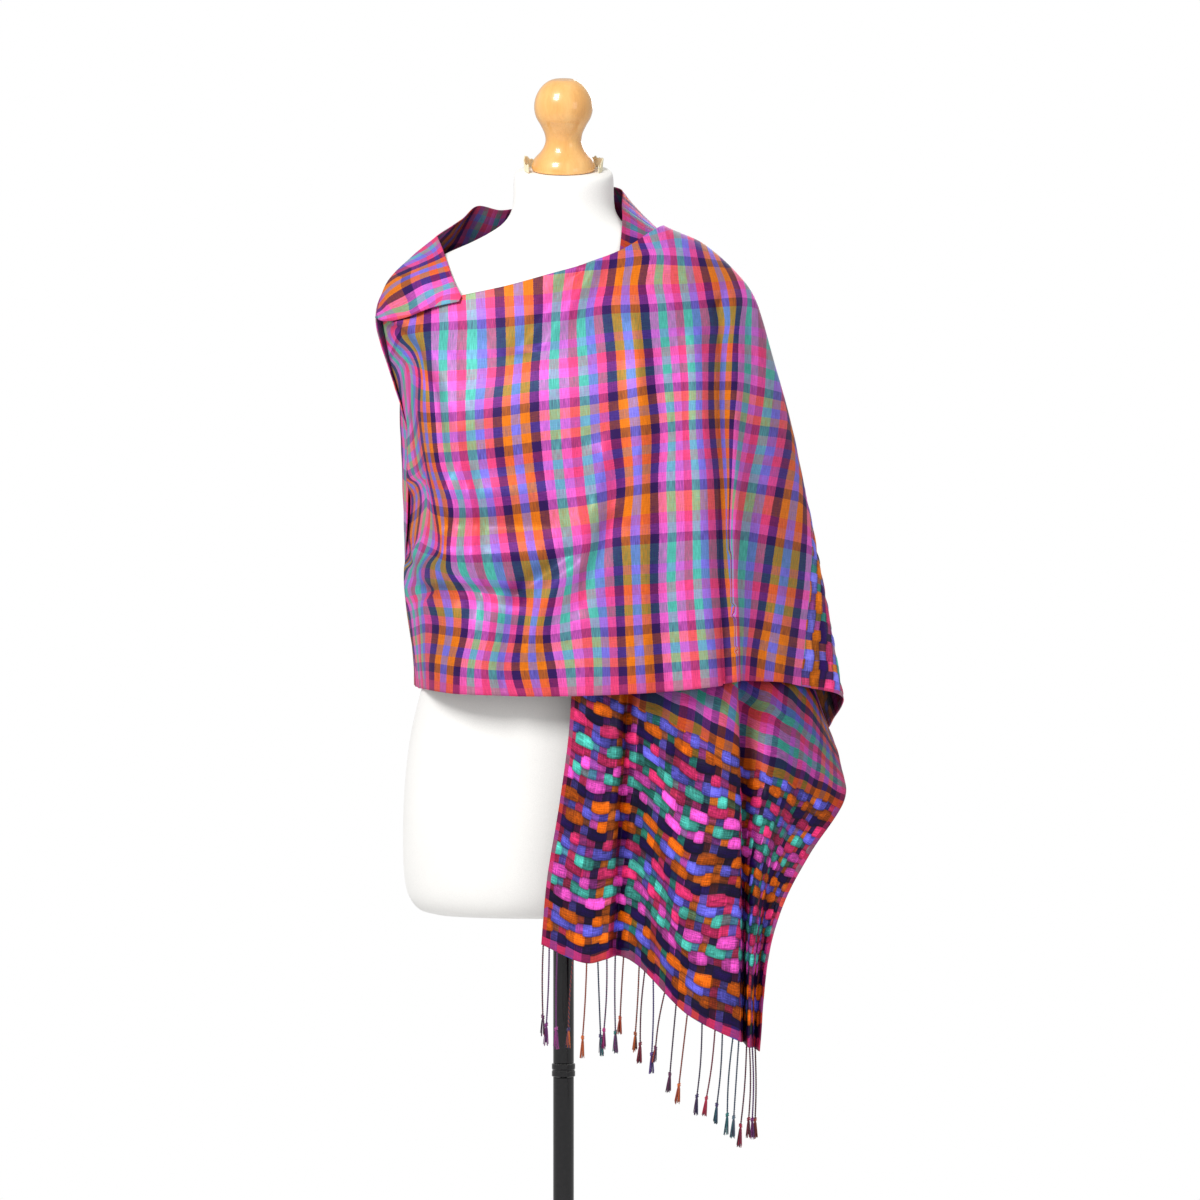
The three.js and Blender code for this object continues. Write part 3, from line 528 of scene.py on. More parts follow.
# The raised weave works over four stripes: a float two stripes wide, where the weft lies free on
# top and sags over the row below, then a plain check, then a rib where the warp lies on top.
REPEAT = 4.0
FLOAT = 2.3                     # width of a long float, in stripes
PLAIN = 3.05                    # where the plain check ends and the rib starts
WEAVE_START = 40.06             # sets the repeat against the first stripe, and keeps it above 0
SAG = 0.24                      # how far a float sags, in rows
SQUARE = 0.16                   # how square a float's lower corners are: towards 0 is squarer
SHORT_FLOATS = 0.28             # share of the floats that are one stripe wide
ROW_MIX, MARK_MIX = 2.4, 5.1    # these four scatter the short floats evenly over the rows
CHANCE_GAIN, CHANCE_START = 7.7, 8.0
FIRST_FLOAT, LAST_FLOAT = 0.8, 49.2     # warps between which the raised weave stands out
TOP_SELVEDGE, LOW_SELVEDGE = 0.5, 49.0  # warps beyond which the cloth is selvedge
INWARD_PAINTED_SHADE = 0.6                   # painted shade: how light the cloth is painted where its face looks in towards the form, on the reverse inside the wrap, which lies in shade
FLOAT_END_PAINTED_SHADE = 0.6                 # painted shade: how dark a float is painted towards its ends, where it dips into the gaps between floats
FLOAT_PAINTED_LIGHT = 0.24              # painted light: how much lighter a raised float is painted than the checks between, which are painted darker
CELL_SPREAD = 0.42              # how much one raised check differs from the next in tone


def row_shift(row):
    return 2.0 * row + np.floor(row / 2)


def over_float(row, warps):
    """Place across the float that a row has at these warps: 0 and 1 are its ends, past them is none."""
    run = warps + row_shift(row) + WEAVE_START
    mark = np.floor(run / REPEAT)
    chance = np.mod(np.sin(row * ROW_MIX + mark * MARK_MIX) * CHANCE_GAIN + CHANCE_START, 1)
    return np.mod(run, REPEAT) / np.where(chance < SHORT_FLOATS, FLOAT / 2, FLOAT)


def hump(share):
    return np.sin(np.pi * np.clip(share, 0, 1))


def raised(to_fringe, warps):
    """How far the raised weave stands out of the cloth, at each point."""
    row = np.floor(to_fringe)
    upper_sag = SAG * hump(over_float(row + 1, warps)) ** SQUARE
    row = np.where(to_fringe - row > 1 - upper_sag, row + 1, row)
    low = row - SAG * hump(over_float(row, warps)) ** SQUARE
    high = row + 1 - SAG * hump(over_float(row + 1, warps)) ** SQUARE
    up = np.clip((to_fringe - low) / (high - low), 0, 1)
    puff = hump(up) ** 0.35 * hump(over_float(row, warps)) ** 0.25
    here = (to_fringe > 1) & (to_fringe < RAISED_ROWS) & (warps > FIRST_FLOAT) & (warps < LAST_FLOAT)
    return np.where(here, RELIEF * (1.3 * puff - 0.45), 0)


def outward(f):
    """How far a face of the cloth looks away from the form's axis. It is negative on the reverse, inside
    the wrap, where the silk paints shade.
    """
    where = f.node("TexCoord")
    place = f.node("SeparateXYZ", where.outputs["Object"])
    normal = f.node("SeparateXYZ", where.outputs["Normal"])
    across = f.times(place.outputs[0], f.times(normal.outputs[0], 0.4))
    return f.math("MULTIPLY_ADD", place.outputs[1], normal.outputs[1], across)


def silk(name, depth, richness=2.2):
    """Checked silk. Its depth is how light it is painted, and below 1 it is painted shade; its richness
    is how strong its colours are.
    """
    f = Finish(name, roughness=0.5, metallic=0.25, specular=0.25)
    uv = f.node("UVMap", uv_map="stripes").outputs[0]
    parts = f.node("SeparateXYZ", uv)
    weft, warp = parts.outputs[0], parts.outputs[1]
    end = f.node("Attribute", attribute_name="to_fringe").outputs["Fac"]

    # edges of the stripes wander by a thread or so
    comb = f.noise(f.vector(f.times(weft, 0.4), f.times(warp, 9.0)), 1.0)
    weft_edge = f.plus(weft, f.span(comb, 0.0, 1.0, -0.07, 0.07))
    comb = f.noise(f.vector(f.times(weft, 9.0), f.times(warp, 0.4)), 1.0)
    warp_edge = f.plus(warp, f.span(comb, 0.0, 1.0, -0.06, 0.06))

    # raised weave: each float sags over the row below it
    in_zone = f.math("LESS_THAN", end, float(RAISED_ROWS))

    def over(row):
        shift = f.plus(f.times(row, 2.0), f.math("FLOOR", f.times(row, 0.5)))
        run = f.plus(f.plus(warp, shift), WEAVE_START)
        mark = f.math("FLOOR", f.math("DIVIDE", run, REPEAT))
        wave = f.math("SINE", f.plus(f.times(row, ROW_MIX), f.times(mark, MARK_MIX)))
        chance = f.math("FRACT", f.plus(f.times(wave, CHANCE_GAIN), CHANCE_START))
        short = f.math("LESS_THAN", chance, SHORT_FLOATS)
        width = f.minus(FLOAT, f.times(short, FLOAT / 2))
        return f.math("MODULO", run, REPEAT), width

    def spread(row):
        block, width = over(row)
        return f.math("MINIMUM", f.math("DIVIDE", block, width), 1.0)

    def sag(row):
        arch = f.math("MAXIMUM", f.math("SINE", f.times(spread(row), math.pi)), 0.0)
        return f.times(f.math("POWER", arch, SQUARE), SAG)

    row = f.math("FLOOR", end)
    above = sag(f.plus(row, 1.0))
    taken = f.math("GREATER_THAN", f.math("FRACT", end), f.minus(1.0, above))
    row = f.plus(row, taken)
    low = f.minus(row, sag(row))
    high = f.minus(f.plus(row, 1.0), sag(f.plus(row, 1.0)))
    up_row = f.math("DIVIDE", f.minus(end, low), f.minus(high, low))
    block, width = over(row)
    on_float = f.math("LESS_THAN", block, width)
    on_rib = f.math("GREATER_THAN", block, PLAIN)

    from_end = f.minus(f.minus(row, 0.5), weft_edge)
    index = f.math("MULTIPLY_ADD", in_zone, from_end, weft_edge)
    placed = f.plus(index, 10.0 * len(WEFT_REPEAT))
    cycle = f.math("FRACT", f.math("DIVIDE", placed, float(len(WEFT_REPEAT))))
    weft_colour = f.ramp(cycle, stripes(WEFT_REPEAT, WEFT_YARNS), "CONSTANT")
    placed = f.plus(f.minus(warp_edge, float(WARP_START)), 2.0 * len(WARP_REPEAT))
    cycle = f.math("FRACT", f.math("DIVIDE", placed, float(len(WARP_REPEAT))))
    warp_colour = f.ramp(cycle, stripes(WARP_REPEAT, WARP_YARNS), "CONSTANT")
    selvedge = f.math("MAXIMUM", f.math("GREATER_THAN", warp_edge, LOW_SELVEDGE),
                      f.math("LESS_THAN", warp_edge, TOP_SELVEDGE))
    warp_colour = f.mix(selvedge, warp_colour, shown(WARP_YARNS["C"]))

    # threads: fine streaks along the weft, fainter ones along the warp
    fine = f.noise(f.vector(f.times(weft, 13.0), f.times(warp, 0.9)), 1.0, 3.0)
    cross = f.noise(f.vector(f.times(weft, 0.9), f.times(warp, 12.0)), 1.0, 2.0)
    share = f.span(fine, 0.3, 0.7, 1 - WEFT_SHARE + 0.12, 1 - WEFT_SHARE - 0.12)
    share = f.plus(share, f.span(cross, 0.3, 0.7, -0.05, 0.05))
    share = f.math("MAXIMUM", share, f.times(selvedge, 0.6))
    bodied = f.times(in_zone, f.math("GREATER_THAN", end, 1.0))
    bodied = f.times(bodied, f.minus(1.0, selvedge))
    share = f.times(share, f.minus(1.0, f.times(on_float, bodied)))
    share = f.math("MAXIMUM", share, f.times(f.times(on_rib, bodied), 0.94))

    blended = f.mix(share, weft_colour, warp_colour)
    # painted shade: a depth below 1 paints the whole cloth darker, as cloth in shade
    tone = f.span(fine, 0.25, 0.75, 0.87 * depth, 1.1 * depth)
    tone = f.plus(tone, f.span(cross, 0.3, 0.7, -0.04, 0.04))
    # painted shade: a float is painted darker towards its ends and edges, where it dips into the gaps
    # between floats
    arch = f.math("MAXIMUM", f.math("SINE", f.times(up_row, math.pi)), 0.001)
    sides = f.math("SINE", f.times(spread(row), math.pi))
    sides = f.math("MAXIMUM", sides, f.minus(1.0, on_float))
    sides = f.math("POWER", f.math("MAXIMUM", sides, 0.001), 0.1)
    float_edge_shade = f.times(f.math("POWER", arch, 0.25), sides)
    float_edge_shade = f.times(f.minus(float_edge_shade, 1.0), f.times(bodied, FLOAT_END_PAINTED_SHADE))
    float_edge_shade = f.plus(float_edge_shade, 1.0)
    cell = f.vector(f.math("FLOOR", f.times(warp_edge, 0.5)), row)
    cell = f.node("TexWhiteNoise", cell, noise_dimensions="2D").outputs["Value"]
    cell = f.times(f.minus(cell, 0.5), f.times(bodied, CELL_SPREAD))
    ribs = f.plus(f.span(fine, 0.3, 0.7, -0.1, 0.1), f.span(cross, 0.3, 0.7, -0.09, 0.09))
    cell = f.math("MULTIPLY_ADD", ribs, bodied, cell)
    # painted light and shade: raised floats are painted lighter, the checks between them darker
    lit = f.times(f.minus(on_float, 0.55), bodied)
    lit = f.math("MULTIPLY_ADD", lit, FLOAT_PAINTED_LIGHT, 1.0)
    tone = f.times(f.times(f.plus(tone, cell), float_edge_shade), lit)
    # painted shade: faces that look in towards the form, inside the wrap, are painted darker
    tone = f.times(tone, f.span(outward(f), -0.03, -0.005, INWARD_PAINTED_SHADE, 1.0))
    f.colour(f.node("Gamma", f.toned(blended, tone), richness).outputs[0])
    f.bump(f.plus(fine, f.times(cross, 0.5)), 0.35, 0.6 * MM)
    return f.material


def jersey():
    f = Finish("cotton_jersey", roughness=0.9, sheen=0.3)
    where = f.node("TexCoord").outputs["Object"]
    knit = f.noise(where, 900.0, 2.0)
    cloudy = f.noise(where, 14.0, 3.0)
    tone = f.plus(f.span(knit, 0.3, 0.7, 0.93, 0.98), f.span(cloudy, 0.3, 0.7, -0.015, 0.015))
    warm = f.mix(1.0, f.vector(tone, tone, tone), (1.0, 0.985, 0.955, 1), "MULTIPLY")
    f.colour(warm)
    f.bump(knit, 0.3, 0.4 * MM)
    return f.material


def calico():
    f = Finish("calico_edge", roughness=0.85)
    where = f.node("TexCoord").outputs["Object"]
    threads = f.noise(where, 700.0, 2.0)
    f.colour(f.ramp(threads, [(0.3, (0.80, 0.70, 0.44, 1)), (0.7, (0.93, 0.87, 0.66, 1))]))
    f.bump(threads, 0.5, 0.5 * MM)
    return f.material


def varnished_wood():
    f = Finish("varnished_wood", roughness=0.3, coat=0.7, coat_roughness=0.1)
    where = f.node("TexCoord").outputs["Object"]
    place = f.node("Mapping", where)
    place.inputs["Scale"].default_value = (40, 40, 4)
    grain = f.noise(place.outputs[0], 1.2, 3.0)
    place = f.node("Mapping", where)
    place.inputs["Scale"].default_value = (700, 700, 40)
    fibre = f.noise(place.outputs[0], 1.0, 3.0)
    wood = f.ramp(grain, [(0.3, (0.82, 0.38, 0.10, 1)), (0.5, (0.93, 0.48, 0.14, 1)),
                          (0.7, (0.99, 0.57, 0.20, 1))])
    tone = f.span(fibre, 0.3, 0.7, 0.93, 1.04)
    f.colour(f.toned(wood, tone))
    f.bump(fibre, 0.05, 0.2 * MM)
    return f.material


def black_steel():
    f = Finish("black_gloss_steel", roughness=0.12, metallic=0.0, coat=0.3, coat_roughness=0.05)
    where = f.node("TexCoord").outputs["Object"]
    speck = f.noise(where, 260.0, 3.0)
    f.colour(f.ramp(speck, [(0.3, (0.004, 0.004, 0.005, 1)), (0.75, (0.010, 0.009, 0.010, 1))]))
    f.bump(speck, 0.04, 0.2 * MM)
    return f.material


def twisted_silk():
    f = Finish("twisted_silk_cord", roughness=0.6, sheen=0.2)
    tint = f.node("Attribute", attribute_name="tint").outputs["Color"]
    where = f.node("TexCoord").outputs["Object"]
    fibre = f.noise(where, 1400.0, 2.0)
    tone = f.span(fibre, 0.3, 0.7, 0.72, 1.15)
    f.colour(f.toned(tint, tone))
    f.bump(fibre, 0.4, 0.3 * MM)
    return f.material


SILK = silk("checked_silk", 1.0)
# painted shade: a darker, deeper copy of the checked silk for the hanging end, which hangs in shade
HANGING_SILK_IN_PAINTED_SHADE = silk("raised_weave_silk", 0.87, 2.6)
JERSEY = jersey()
CALICO = calico()
WOOD = varnished_wood()
STEEL = black_steel()
CORD_SILK = twisted_silk()


# ---------- the dress form and its stand ----------
def torso_rings(sides, steps):
    table = np.array(TORSO, float)[:, None]
    rows = through(table, np.linspace(0, 1, steps))[:, 0]
    turn = np.linspace(0, 2 * math.pi, sides + 1)
    c, s = np.cos(turn), np.sin(turn)
    bow_x = np.sign(c) * np.abs(c) ** (2 / TORSO_SQUARE)
    bow_y = np.sign(s) * np.abs(s) ** (2 / TORSO_SQUARE)
    z, half, front, back = (rows[:, k, None] for k in range(4))
    y = np.where(bow_y < 0, front, back) * bow_y
    tilt = NECK_TILT * np.clip((z - NECK_FOOT) / (NECK_TOP - NECK_EDGE - NECK_FOOT), 0, 1)
    return np.stack([half * bow_x, y, z + tilt * y], axis=-1) * MM


def closed_loft(rings):
    """Rings from the bottom up, joined, with both ends filled."""
    bm, _ = grid(rings)
    bmesh.ops.remove_doubles(bm, verts=bm.verts, dist=0.01 * MM)
    bmesh.ops.holes_fill(bm, edges=bm.edges, sides=0)
    bmesh.ops.recalc_face_normals(bm, faces=bm.faces)
    return bm


def turned(name, profile, place, material, slot, node, sides=96):
    """A turned piece: its profile of (radius, height) is spun round the upright axis."""
    bm = bmesh.new()
    verts = [bm.verts.new((r * MM, 0, h * MM)) for r, h in profile]
    edges = [bm.edges.new(pair) for pair in zip(verts, verts[1:])]
    bmesh.ops.spin(bm, geom=verts + edges, cent=(0, 0, 0), axis=(0, 0, 1), angle=2 * math.pi,
                   steps=sides, use_merge=True, use_duplicate=False)
    bmesh.ops.remove_doubles(bm, verts=bm.verts, dist=0.01 * MM)
    bmesh.ops.recalc_face_normals(bm, faces=bm.faces)
    bm.transform(place)
    obj = piece(name, bm, material, slot, node)
    obj.data.set_sharp_from_angle(angle=math.radians(35))
    return obj


def smooth_profile(points, steps):
    return through(np.array(points, float)[:, None], np.linspace(0, 1, steps))[:, 0].tolist()


def knob():
    foot = [(0, 0), (31, 0), (33.2, 0.8), (34, 3)]
    body = [(34, 3), (33.6, 6), (30.5, 13), (25, 19), (21, 25), (19.1, 32), (20, 39), (24, 48),
            (29, 57), (31, 66), (30, 76), (26, 85), (20, 92), (12.5, 96.2), (5, 97), (0, 97)]
    place = Matrix.Translation((0, 0, (NECK_TOP + FACE_GAP) * MM))
    place = place @ Matrix.Rotation(math.atan(NECK_TILT), 4, "X")
    profile = foot + smooth_profile(body, 90)[1:]
    turned("turned_wood_knob", profile, place, WOOD, "varnished_wood", "neck_knob")


def steel_turning(name, profile, height, node, sides=64):
    turned(name, profile, Matrix.Translation((0, 0, height * MM)), STEEL, "black_steel", node, sides)


def shaft(name, low, high, node):
    """A length of the pole, with its ends eased."""
    long = high - low
    eased_radius = POLE_RADIUS - 0.6
    profile = [(0, 0), (eased_radius, 0), (POLE_RADIUS, 0.6), (POLE_RADIUS, long - 0.6),
               (eased_radius, long), (0, long)]
    steel_turning(name, profile, low, node)


def stand():
    plate = [(0, 0), (163, 0), (164.6, 0.6), (165, 2), (165, 7), (164.4, 8.8), (161, 10), (26, 10),
             (22.5, 11.5), (20, 15), (20, 42), (19.4, 43.5), (18, HUB_TOP), (0, HUB_TOP)]
    collar = [(0, 0), (11.6, 0), (12.4, 0.8), (12.4, 5.6), (11.8, 6.3), (11.8, 7.7), (12.4, 8.4),
              (12.4, 13.2), (11.6, RING_HEIGHT), (0, RING_HEIGHT)]
    steel_turning("round_base_plate", plate, 0, "base_plate", 128)
    shaft("lower_pole_shaft", HUB_TOP + FACE_GAP, RING_FOOT - FACE_GAP, "lower_pole")
    steel_turning("pole_joint_ring", collar, RING_FOOT, "pole_ring")
    shaft("upper_pole_shaft", RING_FOOT + RING_HEIGHT + FACE_GAP, FORM_BOTTOM - FACE_GAP, "upper_pole")


def cover_edge():
    """The raw edge of the cover, which stands up in small ruffles behind the knob."""
    turn = np.linspace(math.pi + 0.45, -0.45, 150)[:, None]
    up = np.linspace(1, 0, 7)[None, :]
    rise = 9 + 3 * np.sin(5 * turn) + 1.8 * np.sin(11 * turn + 1) + 0.7 * np.sin(37 * turn)
    r = 41 + up * (1.5 * np.sin(7 * turn) + 0.5 * np.sin(23 * turn))
    x, y = r * np.cos(turn), r * np.sin(turn)
    sheet = np.stack([x, y, NECK_TOP + NECK_TILT * y + 0.5 + up * rise], axis=-1) * MM
    bm, _ = grid(sheet)
    obj = piece("raw_cover_edge", bm, CALICO, "calico_edge", "neck_cover_edge")
    wall = obj.modifiers.new("thickness", "SOLIDIFY")
    wall.thickness = 0.9 * MM
    wall.offset = 0


knob()
stand()
torso_points = torso_rings(96, 150)
piece("smooth_torso", closed_loft(torso_points), JERSEY, "cotton_jersey", "torso")
cover_edge()
torso_tree = tree_of(torso_points)


# ---------- where the stripes lie ----------
def eased(knots, values, at):
    """Smooth curve through values at uneven knots. It runs straight on past both ends."""
    knots, at = np.asarray(knots, float), np.asarray(at, float)
    values = np.asarray(values, float)
    slopes = np.diff(values, axis=0) / np.diff(knots)[:, None]
    gaps = np.diff(knots)[:, None]
    middle = (slopes[:-1] * gaps[1:] + slopes[1:] * gaps[:-1]) / (gaps[:-1] + gaps[1:])
    tangents = np.concatenate([slopes[:1], middle, slopes[-1:]])
    k = np.clip(np.searchsorted(knots, at, side="right") - 1, 0, len(knots) - 2)
    gap = gaps[k]
    w = ((at - knots[k])[:, None]) / gap
    inside = np.clip(w, 0, 1)
    a, b = values[k], values[k + 1]
    p, q = tangents[k] * gap, tangents[k + 1] * gap
    curve = (a + p * inside + (3 * (b - a) - 2 * p - q) * inside**2
             + (2 * (a - b) + p + q) * inside**3)
    return curve + np.where(w < 0, p * w, 0) + np.where(w > 1, q * (w - 1), 0)


def field(chart, place, wefts, warps):
    """Stripe counts (weft, warp) at places (x, z) seen from the front, read off a chart."""
    lines = []
    for row in chart.values():
        marks = np.array(row, float)
        lines.append(eased(marks[:, 0], marks[:, 1:] * MM, warps))
    flat = np.stack(lines).reshape(len(lines), -1)
    net = eased(list(chart), flat, wefts).reshape(len(wefts), len(warps), 2)
    count = len(warps)
    points = [(x, 0.0, z) for x, z in net.reshape(-1, 2)]
    corners = []
    for i in range(len(wefts) - 1):
        for j in range(count - 1):
            a = i * count + j
            corners += [(a, a + 1, a + count), (a + 1, a + count + 1, a + count)]
    tree = BVHTree.FromPolygons(points, corners)
    found = np.zeros((len(place), 2))
    for n, (x, z) in enumerate(place):
        spot, _, face, _ = tree.find_nearest((x, 0.0, z))
        tri = [Vector(points[c]) for c in corners[face]]
        shares = barycentric(spot, tri)
        for share, c in zip(shares, corners[face]):
            found[n] += share * np.array((wefts[c // count], warps[c % count]))
    return found


def barycentric(spot, tri):
    a, b, c = ((p.x, p.z) for p in tri)
    area = (b[0] - a[0]) * (c[1] - a[1]) - (c[0] - a[0]) * (b[1] - a[1])
    if abs(area) < 1e-14:
        return 1 / 3, 1 / 3, 1 / 3
    u = ((b[0] - spot.x) * (c[1] - spot.z) - (c[0] - spot.x) * (b[1] - spot.z)) / area
    v = ((c[0] - spot.x) * (a[1] - spot.z) - (a[0] - spot.x) * (c[1] - spot.z)) / area
    return u, v, 1 - u - v


EYE = (0.0, -4.5, 1.029)


def from_front(sheet):
    """Each point's place (x, z) on the plane through the pole, as seen from the front."""
    size = -EYE[1] / (sheet[..., 1] - EYE[1])
    return np.stack([sheet[..., 0] * size, EYE[2] + (sheet[..., 2] - EYE[2]) * size], axis=-1)


# ---------- the lower sheet: the hanging end and the back ----------
TO_FRINGE = [0, 6.85, 14.3, 21.8, 29.3, 35.5, 43.6, 53.1, 62.6, 72.9, 83]
PLEATS_START = 0.5              # share of the hanging end's width that lies flat, inside its pleats
DRAWN_PITCH = 9.0 * MM          # width of a stripe there, where the raised weave draws the cloth in


def lower_sheet():
    last = len(HANGING) + len(BACK) - 1
    shoulder = len(HANGING)
    front = np.concatenate([np.linspace(0, 3.95, 118)[:-1], np.linspace(3.95, shoulder, 96)])
    behind = np.linspace(shoulder, last, 95)[1:]
    across = np.concatenate([front, behind]) / last
    down = np.linspace(0, 1, 186)
    sheet = fold(lay(HANGING + BACK, across, down), LOWER_FOLDS, across, down)
    sheet = ripple(sheet, 1.6 * MM, 60 * MM, 3.0)
    sheet = ripple(sheet, 0.5 * MM, 18 * MM, 8.0)
    sheet = rest(sheet, [torso_tree], LAYER_GAP)
    counts = through(np.array(TO_FRINGE)[:, None, None], front / shoulder)[:, 0, 0]
    mean = run_along(sheet, 0)[:, 30:110].mean(axis=1)
    beyond = counts[-1] + (mean[len(front):] - mean[len(front) - 1]) / PITCH
    to_fringe = np.repeat(np.concatenate([counts, beyond])[:, None], len(down), axis=1)
    span = run_along(sheet, 1)
    flat = span[:, np.searchsorted(down, PLEATS_START)][:, None]
    gathered = (WIDTH_STRIPES - flat / DRAWN_PITCH) / (span[:, -1:] - flat)
    warps = np.where(span < flat, span / DRAWN_PITCH, flat / DRAWN_PITCH + (span - flat) * gathered)
    to_fringe = to_fringe + 0.10 * np.sin(warps * 1.3 + to_fringe * 0.9)
    sheet = sheet + normals(sheet) * raised(to_fringe, warps)[..., None]
    return sheet, to_fringe, warps, len(front)


lower, lower_ends, lower_warps, seam = lower_sheet()
hanging_end = cloth("hanging_end_silk", lower[:seam], lower_ends[:seam] - 1, lower_warps[:seam],
                    lower_ends[:seam], HANGING_SILK_IN_PAINTED_SHADE, "raised_weave_silk", "hanging_end")
back_panel = cloth("back_panel_silk", lower[seam - 1:], lower_ends[seam - 1:] - 1, lower_warps[seam - 1:],
                   lower_ends[seam - 1:], SILK, "checked_silk", "back_panel")
lower_tree = tree_of(lower)


# ---------- the upper sheet: the chest panel and the thrown end ----------
CHART_STARTS, CHART_ENDS = 12, 176      # the sheet's rows between which a chart gives its stripes


def upper_sheet():
    table = CHEST + THROWN
    last = len(table) - 1
    far = len(CHEST)
    front = np.linspace(0, far, 190)
    behind = np.linspace(far, last, 106)[1:]
    across = np.concatenate([front, behind]) / last
    down = np.linspace(0, 1, 170)
    sheet = fold(lay(table, across, down), UPPER_FOLDS, across, down)
    sheet = ripple(sheet, 1.2 * MM, 70 * MM, 5.0)
    sheet = ripple(sheet, 0.4 * MM, 20 * MM, 11.0)
    sheet = rest(sheet, [torso_tree, lower_tree], LAYER_GAP + CLOTH)
    seen = from_front(sheet)
    first, edge = CHART_STARTS, CHART_ENDS
    counts = field(CHEST_WEFTS, seen.reshape(-1, 2), np.arange(-13, 62.5, 0.5), np.arange(-2, 53.5, 0.5))
    counts = counts.reshape(seen.shape)
    wefts, warps = counts[..., 0], counts[..., 1]
    span = run_along(sheet, 1)
    even = span / span[:, -1:] * WIDTH_STRIPES
    for i in range(edge + 1, len(sheet)):
        warps[i] = warps[i - 1] + (even[i] - warps[i - 1]) * 0.03
    for i in range(first - 1, -1, -1):
        warps[i] = warps[i + 1] + (even[i] - warps[i + 1]) * 0.05
    length = run_along(sheet, 0)
    rest_of = (length[edge + 1:] - length[edge]) / (length[-1] - length[edge])
    wefts[edge + 1:] = wefts[edge] + (THROWN_END - wefts[edge]) * rest_of
    wefts[:first] = wefts[first] - (length[first] - length[:first]) / PITCH
    to_fringe = THROWN_END - wefts
    to_fringe = to_fringe + 0.10 * np.sin(warps * 1.3 + to_fringe * 0.9) * (to_fringe < 30)
    sheet = sheet + normals(sheet) * raised(to_fringe, warps)[..., None]
    return sheet, wefts, warps, to_fringe, len(front)


upper, upper_wefts, upper_warps, upper_ends, far_seam = upper_sheet()
chest_panel = cloth("chest_panel_silk", upper[:far_seam], upper_wefts[:far_seam], upper_warps[:far_seam],
                    upper_ends[:far_seam], SILK, "checked_silk", "chest_panel")
thrown_end = cloth("thrown_end_silk", upper[far_seam - 1:], upper_wefts[far_seam - 1:],
                   upper_warps[far_seam - 1:], upper_ends[far_seam - 1:], SILK, "raised_weave_silk",
                   "thrown_end")
upper_tree = tree_of(upper)


# ---------- the flap over the other shoulder ----------
def flap_sheet():
    across, down = np.linspace(0, 1, 60), np.linspace(0, 1, 44)
    sheet = ripple(lay(FLAP, across, down), 1.0 * MM, 45 * MM, 2.0)
    sheet = rest(sheet, [torso_tree, upper_tree], LAYER_GAP + CLOTH)
    seen = from_front(sheet)
    counts = field(FLAP_WEFTS, seen.reshape(-1, 2), np.arange(-4, 13, 0.5), np.arange(-2, 14, 0.5))
    counts = counts.reshape(seen.shape)
    wefts, warps = counts[..., 0], counts[..., 1]
    start = 14
    length = run_along(sheet, 0)
    wefts[:start] = wefts[start] - (length[start] - length[:start]) / PITCH
    even = run_along(sheet, 1) / PITCH
    for i in range(start - 1, -1, -1):
        warps[i] = warps[i + 1] + (even[i] - warps[i + 1]) * 0.06
    return sheet, wefts, warps


flap, flap_wefts, flap_warps = flap_sheet()
shoulder_flap = cloth("shoulder_flap_silk", flap, flap_wefts, flap_warps, np.full(flap_wefts.shape, 60.0),
                      SILK, "checked_silk", "shoulder_flap")


# ---------- the fringe ----------
PLY = 0.52 * MM                 # radius of one of a cord's two plies
TWIST = 4.6 * MM                # length of one turn of the twist
KNOT_AT = 0.79                  # share of a cord's drop at which its knot sits
CORD_SPACING = 13.5 * MM        # between the cords of the thrown end
CORD_COLOURS = {
    "plum": ((58, 28, 58), (100, 40, 84)), "purple": ((84, 30, 98), (140, 48, 130)),
    "orchid": ((104, 40, 104), (180, 74, 156)), "navy": ((36, 26, 68), (62, 48, 100)),
    "orange": ((140, 56, 30), (222, 106, 34)), "teal": ((30, 56, 80), (40, 124, 122)),
    "magenta": ((110, 24, 88), (196, 50, 136)), "rust": ((110, 38, 34), (186, 70, 36)),
    "maroon": ((82, 20, 44), (140, 32, 58)), "violet": ((60, 40, 104), (104, 66, 152)),
    "crimson": ((110, 14, 48), (190, 26, 70)), "brown": ((84, 44, 38), (160, 78, 38)),
    "grey": ((64, 70, 94), (94, 114, 132)), "mint": ((50, 104, 114), (90, 176, 164)),
}


def linear(rgb):
    return tuple((c / 255) ** 2.2 for c in rgb) + (1.0,)


class Strands:
    """Many thin round strands gathered into one mesh, each with its own tint."""

    def __init__(self):
        self.points, self.faces, self.tints = [], [], []

    def add(self, path, radii, tint, sides=5, upright=True):
        path = np.asarray(path, float)
        along = unit(np.gradient(path, axis=0))
        guide = np.array([0.0, 1.0, 0.05]) if upright else np.array([0.0, 0.0, 1.0])
        across = unit(np.cross(along, guide))
        other = np.cross(across, along)
        turn = np.arange(sides) / sides * 2 * math.pi
        radii = np.broadcast_to(radii, len(path))[:, None, None]
        rings = path[:, None] + radii * (across[:, None] * np.cos(turn)[:, None]
                                         + other[:, None] * np.sin(turn)[:, None])
        start = len(self.points)
        self.points.extend(rings.reshape(-1, 3))
        self.tints.extend([tint] * rings.shape[0] * sides)
        for k in range(len(path) - 1):
            for m in range(sides):
                a = start + k * sides + m
                b = start + k * sides + (m + 1) % sides
                self.faces.append((a, b, b + sides, a + sides))
        self.faces.append(tuple(start + m for m in reversed(range(sides))))
        top = start + (len(path) - 1) * sides
        self.faces.append(tuple(top + m for m in range(sides)))

    def mesh(self, name, node):
        mesh = bpy.data.meshes.new(name)
        mesh.from_pydata([tuple(p) for p in self.points], [], self.faces)
        layer = mesh.attributes.new("tint", "FLOAT_COLOR", "POINT")
        layer.data.foreach_set("color", np.array(self.tints, np.float32).ravel())
        bm = bmesh.new()
        bm.from_mesh(mesh)
        bmesh.ops.recalc_face_normals(bm, faces=bm.faces)
        return piece(name, bm, CORD_SILK, "silk_cord", node)


